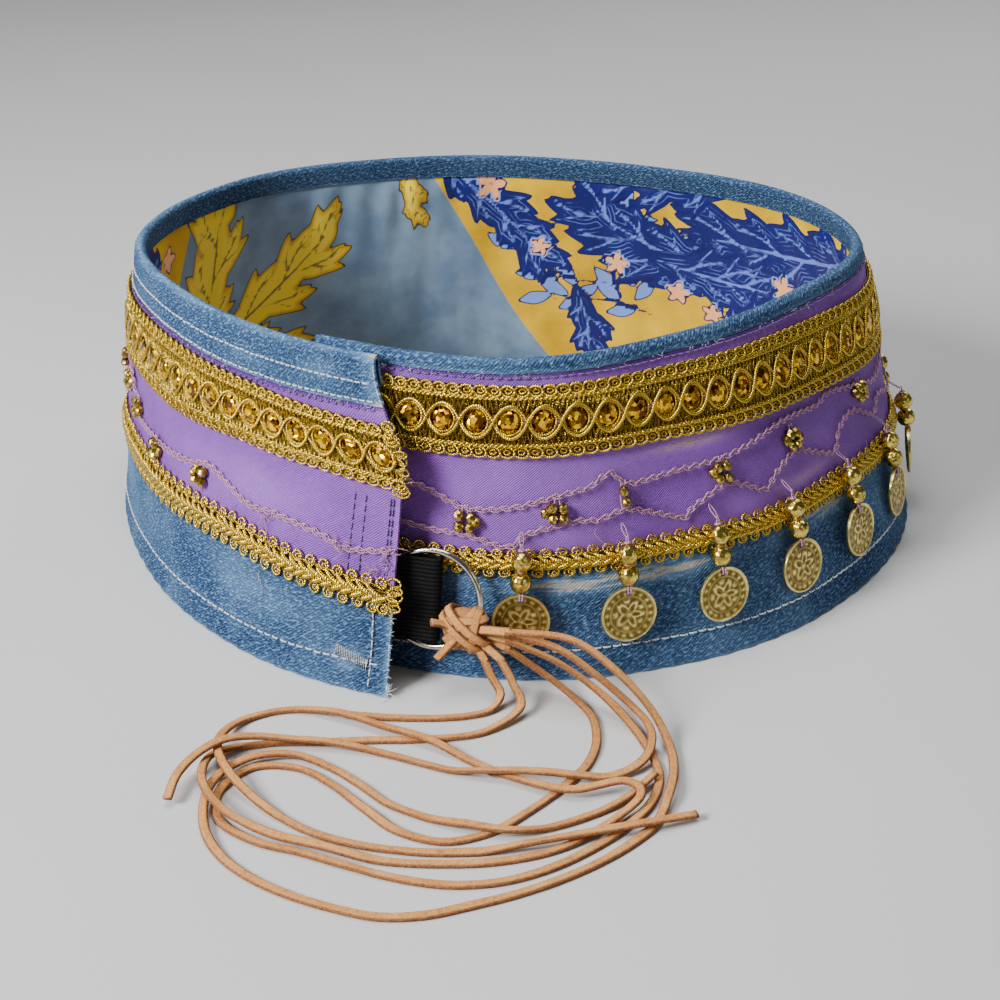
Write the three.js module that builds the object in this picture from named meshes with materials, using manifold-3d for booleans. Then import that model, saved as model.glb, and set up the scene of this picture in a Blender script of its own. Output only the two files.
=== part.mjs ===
// Coin belt standing on its hem: an open oval of cloth bands whose flap end overlaps the other end,
// with hanging coins, an O-ring on a webbing fold and suede laces. Millimetres, +Z up, +Y to the back.
import * as THREE from 'three';
import { mergeVertices } from 'three/addons/utils/BufferGeometryUtils.js';
import Module from 'manifold-3d';

const wasm = await Module();
wasm.setup();

// ---- driving dimensions -------------------------------------------------------------------------
const HEIGHT = 110; // hem to top edge
const FRAME_SHIFT = [2.65, 9.7]; // moves the plan so that the belt's box is centred on the origin
const UNDER_END = -34; // turn of the end that lies under the flap, degrees from the front to the right
const FLAP_END = 344; // turn of the flap's free edge, after one whole round
const FLAP_PROUD = { top: 7.4, hem: 19.2 }; // how far the flap's edge stands out from the layer below
const FLAP_EASE = [260, 340]; // turns between which the flap leaves the line of the belt
const FLAP_SLANT = { back: 5.6, turns: [308, 344], heights: [72, 110] }; // the flap's edge leans back at the top
const GAP = 0.3; // between neighbouring pieces
const SHELL = 1.3; // denim and twill
const LINING = 1.0;
const LINING_EASE = 0.7; // the lining hangs this far inside the shell
const BINDING_TURN_IN = 10; // depth of the top band inside
const BRAID = 1.5; // ground of the jewelled braid
const STONE_RISE = 1.4; // stones over the braid's ground
const STONE_COUNT = 80;
const GIMP = 1.6;
const SECTIONS = 96; // along each band

// Plan of the belt: radius from the plan's centre at the top edge and at the hem, by turn.
const PLAN = [
  { turn: 0, top: 125, hem: 147 },
  { turn: 30, top: 114.5, hem: 148.5 },
  { turn: 60, top: 116.5, hem: 152.5 },
  { turn: 90, top: 132, hem: 159.5 },
  { turn: 120, top: 127.5, hem: 155 },
  { turn: 150, top: 113.5, hem: 140 },
  { turn: 180, top: 114, hem: 136 },
  { turn: 210, top: 126, hem: 152 },
  { turn: 240, top: 145.5, hem: 167.5 },
  { turn: 270, top: 151, hem: 164 },
  { turn: 300, top: 134, hem: 150.5 },
  { turn: 330, top: 125.5, hem: 145 },
];

// Heights of the seams and braid edges over the floor, by turn. The flap has a wide top band.
const SEAMS = [
  { turn: -34, band: 105.3, braidTop: 102.8, braidLow: 78.2, gimpTop: 46.6, gimpLow: 38.6 },
  { turn: 20, band: 105.3, braidTop: 102.2, braidLow: 78.2, gimpTop: 46.4, gimpLow: 38.2 },
  { turn: 50, band: 105.2, braidTop: 101.4, braidLow: 76, gimpTop: 45.4, gimpLow: 37.4 },
  { turn: 80, band: 105.2, braidTop: 98.8, braidLow: 73.2, gimpTop: 45.6, gimpLow: 37.6 },
  { turn: 150, band: 104, braidTop: 99, braidLow: 73.5, gimpTop: 45.6, gimpLow: 37.6 },
  { turn: 270, band: 95.2, braidTop: 94, braidLow: 69.6, gimpTop: 43.6, gimpLow: 32.6 },
  { turn: 300, band: 94.6, braidTop: 94, braidLow: 69.8, gimpTop: 45.4, gimpLow: 34 },
  { turn: 318, band: 94, braidTop: 92.8, braidLow: 72, gimpTop: 45.6, gimpLow: 35.4 },
  { turn: 332, band: 94.4, braidTop: 91.2, braidLow: 71.6, gimpTop: 42, gimpLow: 32 },
  { turn: 344, band: 94.4, braidTop: 89.6, braidLow: 69.2, gimpTop: 38.8, gimpLow: 28.8 },
];

const COIN = { count: 18, first: 0, pitch: 14.5, radius: 10, thick: 1.2, hole: 1.1, holeUp: 7.9, lean: 7 };
const DROP = { top: 51, standOff: 5.7, bead: 3.4, waist: 2.6, thread: 0.6, centre: 24 };
const RING = { at: [-30.3, -142.8, 30], outer: 18.3, wire: 1.1, yaw: -15, tilt: 11 };
const WEBBING = { wide: 30, thick: 1.2, pocket: 2.9, fold: 2.2, reach: 18.8 };
const KNOT = { at: [12.7, -1.6, -8.2], size: [9, 5, 8.6] };
const LACE = { wide: 3, thick: 1.5, side: 0.45 };

// Laces: points along each lace, from the knot on, in the plan's own axes before FRAME_SHIFT.
const LACES = {
  lace_1: [
    [-12.2, -154.8, 13.6], [-9.8, -158.2, 9.0], [-6.6, -162.2, 4.2], [-10.8, -167.2, 0.8],
    [-18.3, -170.0, 0.8], [-26.3, -171.1, 0.8], [-34.3, -171.3, 0.8], [-42.4, -171.1, 0.8],
    [-50.4, -170.2, 0.8], [-58.4, -169.2, 0.8],
  ],
  lace_2: [
    [-6.8, -156.2, 14.6], [-2.6, -162.0, 9.0], [-0.2, -169.0, 3.4], [-13.4, -179.8, 0.8],
    [-30.5, -183.3, 0.8], [-48.0, -184.1, 0.8], [-65.5, -185.4, 0.8], [-83.0, -186.7, 0.8],
    [-97.8, -194.1, 2.5], [-98.8, -211.3, 5.0], [-89.8, -226.0, 4.4], [-74.8, -235.0, 2.8],
    [-58.3, -240.8, 2.8], [-41.3, -245.1, 1.0], [-23.8, -246.3, 0.8], [-6.3, -244.9, 0.8],
    [10.3, -239.5, 0.8], [24.8, -229.6, 1.7], [37.1, -217.2, 4.1], [32.6, -209.7, 4.4],
    [16.0, -212.9, 3.3], [-0.1, -206.3, 2.2], [-14.4, -196.1, 0.8], [-29.1, -186.5, 2.9],
    [-44.8, -178.7, 2.7], [-60.6, -171.0, 2.8], [-77.5, -167.1, 0.8], [-92.6, -175.0, 1.6],
    [-97.0, -191.6, 4.7], [-90.7, -207.7, 4.8], [-78.6, -220.3, 1.8], [-64.6, -230.9, 0.8],
    [-48.5, -237.7, 0.8], [-31.3, -240.8, 0.8], [-13.7, -240.8, 0.8], [3.7, -238.4, 2.8],
    [20.7, -234.4, 3.6], [37.6, -229.6, 3.6], [54.0, -223.4, 2.3],
  ],
  lace_3: [
    [-5.0, -154.6, 23.4], [11.4, -159.5, 21.5], [24.0, -165.5, 15.5], [36.5, -173.5, 8.0],
    [42.0, -182.0, 5.6], [41.9, -190.3, 3.6], [37.8, -198.6, 2.9], [28.6, -203.4, 1.4],
    [18.2, -205.1, 3.1], [7.7, -205.3, 4.4], [-2.8, -204.5, 4.2], [-13.2, -202.9, 2.8],
    [-23.3, -199.9, 0.8], [-33.0, -196.0, 0.8], [-42.7, -191.9, 0.8], [-52.9, -189.4, 2.0],
    [-63.3, -188.0, 3.1], [-73.8, -187.5, 3.5], [-84.3, -188.6, 5.2], [-94.0, -192.6, 7.0],
    [-101.5, -199.9, 6.8], [-106.8, -208.8, 5.0], [-108.2, -219.3, 3.3],
  ],
  lace_4: [
    [-5.0, -158.6, 26.8], [16.2, -163.6, 27.2], [31.0, -170.0, 19.5], [42.6, -177.0, 9.0],
    [48.2, -187.9, 2.4], [48.6, -200.4, 2.1], [46.2, -213.8, 3.1], [41.4, -226.4, 1.0],
    [32.7, -236.8, 0.8], [22.4, -245.7, 0.8], [11.1, -253.2, 0.8], [-1.0, -259.5, 0.8],
    [-13.6, -264.5, 0.8], [-26.5, -268.8, 0.8], [-39.9, -269.6, 0.8], [-53.0, -266.1, 0.8],
    [-65.6, -260.8, 0.8], [-77.2, -253.9, 0.8], [-87.2, -244.7, 0.8], [-94.3, -233.2, 1.6],
    [-96.8, -219.9, 2.8], [-94.7, -206.6, 2.8], [-85.5, -196.8, 2.9], [-72.4, -194.0, 2.1],
    [-60.1, -199.3, 0.8], [-49.9, -208.2, 0.8], [-40.4, -217.9, 0.8], [-28.5, -224.4, 0.8],
    [-15.9, -229.5, 2.6], [-2.7, -232.4, 2.7], [10.2, -228.4, 0.8], [22.3, -222.2, 0.8],
    [33.3, -214.3, 1.7], [42.5, -204.3, 3.4],
  ],
  lace_5: [
    [-5.2, -151.8, 16.6], [11.7, -156.0, 5.5], [22.6, -166.8, 0.8], [25.0, -181.9, 0.8],
    [21.5, -196.6, 0.8], [12.8, -209.3, 0.8], [2.7, -220.9, 0.8], [-8.6, -231.2, 0.8],
    [-22.7, -236.0, 0.8], [-37.0, -230.8, 0.8], [-47.8, -220.0, 0.8], [-58.3, -208.8, 0.8],
    [-70.5, -199.7, 0.8], [-85.2, -199.7, 0.8], [-93.5, -212.3, 0.8], [-91.1, -226.8, 0.8],
    [-79.4, -236.5, 0.8], [-64.9, -241.6, 0.8], [-50.7, -247.5, 0.8], [-36.3, -252.7, 0.8],
    [-21.2, -255.6, 0.8], [-6.0, -254.2, 0.8], [8.1, -248.3, 0.8], [20.6, -239.5, 0.8],
    [31.7, -228.8, 0.8], [40.6, -216.3, 1.2], [44.0, -201.6, 0.8], [40.9, -186.4, 0.8],
    [36.0, -174.0, 1.8], [26.5, -163.6, 6.5], [12.5, -157.0, 14.0], [-5.0, -152.4, 19.8],
  ],
};
const LACE_STEPS = { lace_1: 18, lace_2: 72, lace_3: 42, lace_4: 64, lace_5: 64 };

// ---- finishes ----------------------------------------------------------------------------------
const finish = (color, roughness, metalness = 0) =>
  new THREE.MeshStandardMaterial({ color, roughness, metalness });
const DENIM = finish(0x4a6c9e, 0.85);
const TWILL = finish(0x5a2f6e, 0.6);
const SATIN = finish(0xa89a5a, 0.45);
const GOLD = finish(0xc9a24a, 0.4, 0.7);
const BRASS = finish(0xa08a3c, 0.35, 0.9);
const BLACK = finish(0x15151a, 0.8);
const STEEL = finish(0xc8c2b0, 0.25, 1);
const SUEDE = finish(0xb98d6a, 0.95);

// ---- the belt's surface ------------------------------------------------------------------------
const rad = THREE.MathUtils.degToRad;
const smoothStep = (x, low, high) => THREE.MathUtils.smoothstep(x, low, high);

// Periodic cubic through the plan's rows.
function planRadius(turn, key) {
  const step = 360 / PLAN.length;
  const place = (((turn % 360) + 360) % 360) / step;
  const row = Math.floor(place);
  const t = place - row;
  const [a, b, c, d] = [-1, 0, 1, 2].map((k) => PLAN[(row + k + PLAN.length) % PLAN.length][key]);
  return 0.5 * (2 * b + (c - a) * t + (2 * a - 5 * b + 4 * c - d) * t ** 2 + (3 * b - a - 3 * c + d) * t ** 3);
}

// Straight blend between the rows of a table.
function seam(turn, key) {
  const next = Math.max(1, SEAMS.findIndex((row) => row.turn >= turn));
  const [a, b] = [SEAMS[next - 1], SEAMS[next]];
  return THREE.MathUtils.lerp(a[key], b[key], (turn - a.turn) / (b.turn - a.turn));
}

function surfaceRadius(turn, z) {
  const up = z / HEIGHT;
  const proud = THREE.MathUtils.lerp(FLAP_PROUD.hem, FLAP_PROUD.top, up) * smoothStep(turn, ...FLAP_EASE);
  return THREE.MathUtils.lerp(planRadius(turn, 'hem'), planRadius(turn, 'top'), up) + proud;
}

function planPoint(turn, z) {
  const r = surfaceRadius(turn, z);
  return new THREE.Vector3(r * Math.sin(rad(turn)), -r * Math.cos(rad(turn)), z);
}

// Direction straight out of the wall, level with the floor.
function outward(turn, z) {
  const along = planPoint(turn + 0.5, z).sub(planPoint(turn - 0.5, z)).normalize();
  return new THREE.Vector3(along.y, -along.x, 0);
}

// A point at a turn and height, moved out of the belt's face by off.
function wallPoint(turn, z, off) {
  const slant = FLAP_SLANT.back * smoothStep(turn, ...FLAP_SLANT.turns) * smoothStep(z, ...FLAP_SLANT.heights);
  const at = turn - slant;
  return planPoint(at, z).addScaledVector(outward(at, z), off);
}

// ---- meshes ------------------------------------------------------------------------------------
const belt = new THREE.Group();
belt.position.set(FRAME_SHIFT[0], FRAME_SHIFT[1], 0);

function add(name, geometry, material, parent = belt) {
  const mesh = new THREE.Mesh(geometry, material);
  mesh.name = name;
  parent.add(mesh);
  return mesh;
}

// Closed solid from rings of points: each ring is one closed section, the ends are capped.
function loft(rings, capShape) {
  const size = rings[0].length;
  const position = rings.flat().flatMap((p) => [p.x, p.y, p.z]);
  const faces = [];
  for (let k = 0; k < rings.length - 1; k += 1) {
    for (let i = 0; i < size; i += 1) {
      const [a, b] = [k * size + i, k * size + ((i + 1) % size)];
      faces.push(a, b, b + size, a, b + size, a + size);
    }
  }
  const last = (rings.length - 1) * size;
  const caps = THREE.ShapeUtils.triangulateShape(capShape, []);
  const sameWay = (cap) => THREE.ShapeUtils.area(cap.map((i) => capShape[i])) * THREE.ShapeUtils.area(capShape) > 0;
  for (const cap of caps) {
    const [a, b, c] = sameWay(cap) ? cap : [...cap].reverse();
    faces.push(a, c, b, last + a, last + b, last + c);
  }
  const geometry = new THREE.BufferGeometry();
  geometry.setAttribute('position', new THREE.Float32BufferAttribute(position, 3));
  geometry.setIndex(faces);
  return geometry;
}

// A band along the belt. profile(turn, k) lists [height, off] round the section, from the inside out and up.
function band(name, material, profile, { from = UNDER_END, to = FLAP_END, sections = SECTIONS } = {}) {
  const rings = [];
  let cap = null;
  for (let k = 0; k <= sections; k += 1) {
    const turn = THREE.MathUtils.lerp(from, to, k / sections);
    const section = profile(turn, k).reverse();
    cap ??= section.map(([z, off]) => new THREE.Vector2(-off, z));
    rings.push(section.map(([z, off]) => wallPoint(turn, z, off)));
  }
  add(name, loft(rings, cap), material);
}

// Folded binding over the top edge: outer face, rolled top, face inside.
band('denim_top_band', DENIM, (turn) => {
  const low = seam(turn, 'band');
  const back = -SHELL - LINING - LINING_EASE - GAP;
  const inside = HEIGHT - BINDING_TURN_IN;
  return [
    [low, -SHELL], [low, 0], [HEIGHT - 1.2, 0], [HEIGHT, -1.2], [HEIGHT, back], [HEIGHT - 1.2, back - SHELL + 0.1],
    [inside, back - SHELL + 0.1], [inside, back], [HEIGHT - SHELL, back], [HEIGHT - SHELL, -SHELL],
  ];
});

const seamUnderGimp = (turn) => (seam(turn, 'gimpTop') + seam(turn, 'gimpLow')) / 2;

band('purple_panel', TWILL, (turn) => {
  const [low, top] = [seamUnderGimp(turn) + GAP / 2, seam(turn, 'band') - GAP];
  return [[low, -SHELL], [low, 0], [top, 0], [top, -SHELL]];
});

band('denim_hem_band', DENIM, (turn) => {
  const top = seamUnderGimp(turn) - GAP / 2;
  return [[0, -SHELL], [0, 0], [top, 0], [top, -SHELL]];
});

// Lining, eased into the binding: shallow creases fade out towards the hem.
band('printed_lining', SATIN, (turn) => {
  const outer = -SHELL - LINING_EASE;
  const crease = 0.35 * (Math.sin(rad(turn * 23)) + Math.sin(rad(turn * 31 + 40)));
  const top = HEIGHT - SHELL - GAP;
  const edge = HEIGHT - BINDING_TURN_IN - GAP;
  const [below, middle] = [edge - 6, HEIGHT / 2];
  return [
    [0.6, outer - LINING], [0.6, outer], [seamUnderGimp(turn), outer], [top, outer],
    [top, outer - LINING], [edge, outer - LINING],
    [below, outer - LINING - 0.75 - crease], [middle, outer - LINING - 0.4 - crease / 2],
  ];
});

// Jewelled braid: a ridge of stones stands on every second section.
band('jewelled_braid', GOLD, (turn, k) => {
  const [low, top] = [seam(turn, 'braidLow'), seam(turn, 'braidTop')];
  const [quarter, middle] = [(top - low) / 4, (top + low) / 2];
  const rise = k % 2 === 1 ? STONE_RISE : 0.2;
  return [
    [low, GAP], [low, GAP + BRAID], [low + quarter, GAP + BRAID], [middle, GAP + BRAID + rise],
    [top - quarter, GAP + BRAID], [top, GAP + BRAID], [top, GAP],
  ];
}, { sections: 2 * STONE_COUNT });

band('gimp_braid', GOLD, (turn) => {
  const [low, top] = [seam(turn, 'gimpLow'), seam(turn, 'gimpTop')];
  const ease = (top - low) / 4;
  return [
    [low, GAP], [low, GAP + 0.6], [low + ease, GAP + GIMP], [top - ease, GAP + GIMP], [top, GAP + 0.6], [top, GAP],
  ];
});

// ---- coin drops --------------------------------------------------------------------------------
const coinShape = new THREE.Shape().absarc(0, 0, COIN.radius, 0, 2 * Math.PI);
coinShape.holes.push(new THREE.Path().absarc(0, COIN.holeUp, COIN.hole, 0, 2 * Math.PI, true));
const coinGeometry = new THREE.ExtrudeGeometry(coinShape, {
  depth: COIN.thick, bevelEnabled: false, curveSegments: 6,
});
coinGeometry.translate(0, 0, -COIN.thick / 2);

// Thread loop with two beads, turned round its own length, from the coin's edge up to the net.
function dropGeometry(length) {
  const profile = [[0, 0], [DROP.thread, 0]];
  const shoulder = Math.sqrt(DROP.bead ** 2 - DROP.waist ** 2);
  for (const centre of [DROP.bead + 0.1, 3 * DROP.bead + 0.2]) {
    profile.push([DROP.thread, centre - DROP.bead], [DROP.waist, centre - shoulder], [DROP.bead, centre]);
    profile.push([DROP.waist, centre + shoulder], [DROP.thread, centre + DROP.bead]);
  }
  profile.push([DROP.thread, length], [0, length]);
  return new THREE.LatheGeometry(profile.map(([r, y]) => new THREE.Vector2(r, y)), 6);
}

// Axes of a drop: x along the belt, y up the wall, z out of it.
function dropAxes(turn) {
  const low = wallPoint(turn, DROP.centre, DROP.standOff);
  const up = wallPoint(turn, DROP.top, DROP.standOff).sub(low).normalize();
  const along = new THREE.Vector3().crossVectors(up, outward(turn, DROP.centre)).normalize();
  return new THREE.Matrix4().makeBasis(along, up, new THREE.Vector3().crossVectors(along, up)).setPosition(low);
}

for (let k = 0; k < COIN.count; k += 1) {
  const turn = COIN.first + COIN.pitch * k;
  const number = String(k + 1).padStart(2, '0');
  const drop = new THREE.Group();
  drop.applyMatrix4(dropAxes(turn));
  belt.add(drop);
  const coin = add(`coin_${number}`, coinGeometry, BRASS, drop);
  coin.rotation.x = rad(COIN.lean);
  coin.position.set(0, 0, -COIN.radius * Math.sin(rad(COIN.lean)));
  const length = wallPoint(turn, DROP.top, DROP.standOff).distanceTo(wallPoint(turn, DROP.centre, DROP.standOff));
  const thread = add(`beads_${number}`, dropGeometry(length - COIN.radius - GAP), GOLD, drop);
  thread.position.set(0, COIN.radius + GAP, 0);
}

// ---- ring, webbing and knot --------------------------------------------------------------------
function toManifold(geometry) {
  const bare = geometry.clone();
  bare.deleteAttribute('normal');
  bare.deleteAttribute('uv');
  const merged = mergeVertices(bare, 1e-4);
  return new wasm.Manifold(new wasm.Mesh({
    numProp: 3,
    vertProperties: new Float32Array(merged.attributes.position.array),
    triVerts: new Uint32Array(merged.index.array),
  }));
}

function fromManifold(solid) {
  const { vertProperties, triVerts } = solid.getMesh();
  const geometry = new THREE.BufferGeometry();
  geometry.setAttribute('position', new THREE.Float32BufferAttribute(vertProperties, 3));
  geometry.setIndex([...triVerts]);
  return geometry;
}

// Axes of the ring: x along the belt, z up the ring, y to the back.
const closure = new THREE.Group();
closure.position.set(...RING.at);
closure.rotation.set(rad(-RING.tilt), 0, rad(RING.yaw), 'ZYX');
belt.add(closure);

const ringRadius = RING.outer - RING.wire;
const ringGeometry = new THREE.TorusGeometry(ringRadius, RING.wire, 6, 28).rotateX(Math.PI / 2);
add('o_ring', ringGeometry, STEEL, closure);

// Webbing strap folded round the ring's near side, open towards the flap.
const half = WEBBING.pocket / 2;
const skin = half + WEBBING.thick;
const strap = new THREE.Shape([
  [-WEBBING.reach, -skin], [WEBBING.fold - 1, -skin], [WEBBING.fold + 0.6, -half], [WEBBING.fold + 0.6, half],
  [WEBBING.fold - 1, skin], [-WEBBING.reach, skin], [-WEBBING.reach, half], [WEBBING.fold - 1, half],
  [WEBBING.fold - 1, -half], [-WEBBING.reach, -half],
].map(([x, y]) => new THREE.Vector2(x, y)));
const strapGeometry = new THREE.ExtrudeGeometry(strap, { depth: WEBBING.wide, bevelEnabled: false });
add('ring_webbing', strapGeometry.translate(0, 0, -WEBBING.wide / 2), BLACK, closure);

// Knot tied over the ring's wire, which passes through it.
const knotBody = new THREE.SphereGeometry(1, 14, 9).scale(...KNOT.size).translate(...KNOT.at);
const wireRoom = new THREE.TorusGeometry(ringRadius, RING.wire + GAP, 6, 28).rotateX(Math.PI / 2);
add('lace_knot', fromManifold(toManifold(knotBody).subtract(toManifold(wireRoom))), SUEDE, closure);

// ---- laces -------------------------------------------------------------------------------------
// Flat section with eased corners, eight sides.
const [w, t, s] = [LACE.wide / 2, LACE.thick / 2, LACE.side];
const LACE_SECTION = [[-w, t - s], [s - w, t], [w - s, t], [w, t - s], [w, s - t], [w - s, -t], [s - w, -t], [-w, s - t]];

function laceGeometry(points, steps) {
  const path = new THREE.CatmullRomCurve3(points.map((p) => new THREE.Vector3(...p)), false, 'catmullrom', 0.5);
  const rings = [];
  for (let k = 0; k <= steps; k += 1) {
    const ahead = path.getTangentAt(k / steps);
    const side = new THREE.Vector3(ahead.y, -ahead.x, 0).normalize();
    const up = new THREE.Vector3().crossVectors(side, ahead);
    const centre = path.getPointAt(k / steps);
    centre.z = Math.max(centre.z, LACE.thick / 2);
    rings.push(LACE_SECTION.map(([x, y]) => centre.clone().addScaledVector(side, x).addScaledVector(up, y)));
  }
  return loft(rings, LACE_SECTION.map(([x, y]) => new THREE.Vector2(x, y)));
}

for (const [name, points] of Object.entries(LACES)) {
  add(name, laceGeometry(points, LACE_STEPS[name]), SUEDE);
}

export default belt;
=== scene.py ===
"""Looks of the coin belt: cloth bands, braids, net, coins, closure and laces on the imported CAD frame.

Shapes are worked out in millimetres in the belt's plan axes and moved into the frame when a mesh is made.
"""

import logging
import math
from dataclasses import dataclass, field, replace
from enum import Enum
from typing import Callable, ClassVar, Iterable, Sequence

import bpy
import mathutils
import numpy as np
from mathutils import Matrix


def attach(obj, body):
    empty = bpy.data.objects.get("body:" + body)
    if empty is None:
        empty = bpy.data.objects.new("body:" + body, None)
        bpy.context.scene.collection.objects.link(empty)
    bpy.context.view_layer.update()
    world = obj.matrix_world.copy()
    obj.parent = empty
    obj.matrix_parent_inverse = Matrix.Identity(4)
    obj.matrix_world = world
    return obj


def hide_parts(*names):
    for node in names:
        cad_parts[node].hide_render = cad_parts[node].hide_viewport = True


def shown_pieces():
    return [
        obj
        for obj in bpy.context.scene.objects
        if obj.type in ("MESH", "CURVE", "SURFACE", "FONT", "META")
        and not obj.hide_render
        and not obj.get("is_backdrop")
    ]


LOG = logging.getLogger("coin_belt")
Array = np.ndarray

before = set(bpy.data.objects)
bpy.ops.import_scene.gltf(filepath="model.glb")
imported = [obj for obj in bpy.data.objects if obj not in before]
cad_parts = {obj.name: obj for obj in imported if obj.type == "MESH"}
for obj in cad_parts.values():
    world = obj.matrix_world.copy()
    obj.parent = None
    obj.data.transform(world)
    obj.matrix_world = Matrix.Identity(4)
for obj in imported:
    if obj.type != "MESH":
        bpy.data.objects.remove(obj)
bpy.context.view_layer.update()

MM = 0.001
FRAME_SHIFT = np.array([2.65, 9.7, 0.0])
HEIGHT = 110.0
UNDER_END, FLAP_END = -34.0, 344.0
COIN_COUNT, COIN_PITCH = 18, 14.5
SEED = 20
TINY = 1e-9
FOLD_REACH = 0.45
BRAID_SEAT = 0.3
FIBRE_CLEAR = 0.25
FLOOR_CLEAR = 0.12


class Slot(str, Enum):
    """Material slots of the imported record."""

    DENIM = "denim"
    TWILL = "twill"
    LINING = "lining_satin"
    BRAID = "gold_braid"
    COIN = "coin_brass"
    BEAD = "bead_gold"
    WEBBING = "black_webbing"
    RING = "ring_metal"
    SUEDE = "suede"


# ---- points ---------------------------------------------------------------------------------------
def unit(vectors: Array) -> Array:
    """The same directions with length one."""
    return vectors / (np.linalg.norm(vectors, axis=-1, keepdims=True) + TINY)


def xyz(x: Array | float, y: Array | float, z: Array | float) -> Array:
    """Points from their coordinates, each an array or one number for all."""
    return np.stack(np.broadcast_arrays(x, y, z), axis=-1)


def circle(count: int) -> Array:
    """Evenly spaced angles round a circle."""
    return 2 * np.pi * np.arange(count) / count


def turned(points: Array, first: int, second: int, angle: float | Array) -> Array:
    """Points turned by an angle in the plane of two of their axes."""
    made, c, s = points.copy(), np.cos(angle), np.sin(angle)
    made[..., first] = points[..., first] * c - points[..., second] * s
    made[..., second] = points[..., first] * s + points[..., second] * c
    return made


def sphere(polar: Array, around: Array) -> Array:
    """Rings of points on a ball of radius 1, by angle from its upper pole and angle round it."""
    r = np.sin(polar)[:, None]
    return xyz(r * np.cos(around), r * np.sin(around), np.cos(polar)[:, None])


def bell(distance: Array, wide: float) -> Array:
    """Smooth hump, 1 where the distance is nothing."""
    return np.exp(-((distance / wide) ** 2))


# ---- the belt's surface --------------------------------------------------------------------------
@dataclass(frozen=True)
class Fold:
    """A soft ridge or trough that runs up the wall.

    Attributes:
        turn: place round the belt, in degrees.
        width: half width, in degrees.
        depth: outward in millimetres, negative for a trough.
        lean: how far the fold drifts from hem to top, in degrees.
        high: height of its strongest place, as a share of the wall.
    """

    turn: float
    width: float
    depth: float
    lean: float = 0.0
    high: float = 0.5


FOLDS = tuple(
    Fold(*row)
    for row in (
        (-29, 7, 0.5, 3, 0.3), (-14, 6, -0.6, -2, 0.6), (4, 9, 0.5, 4, 0.5), (21, 6, -0.7, 3, 0.35),
        (37, 9, 0.7, -4, 0.6), (54, 7, -0.9, 5, 0.45), (71, 8, 0.8, 2, 0.4), (92, 8, -1.0, -5, 0.5),
        (111, 9, 0.9, 4, 0.7), (128, 7, -0.8, 3, 0.3), (147, 10, 0.9, -3, 0.5), (168, 8, -0.9, 4, 0.6),
        (189, 9, 0.8, -4, 0.4), (207, 7, -1.0, 2, 0.55), (228, 9, 1.0, 5, 0.4), (247, 7, -0.8, -3, 0.65),
        (266, 8, 0.7, 3, 0.45), (284, 7, -0.8, 4, 0.35), (301, 8, 0.7, -3, 0.5), (317, 6, -0.7, 3, 0.6),
        (331, 6, 0.5, 2, 0.3),
    )
)


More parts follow.
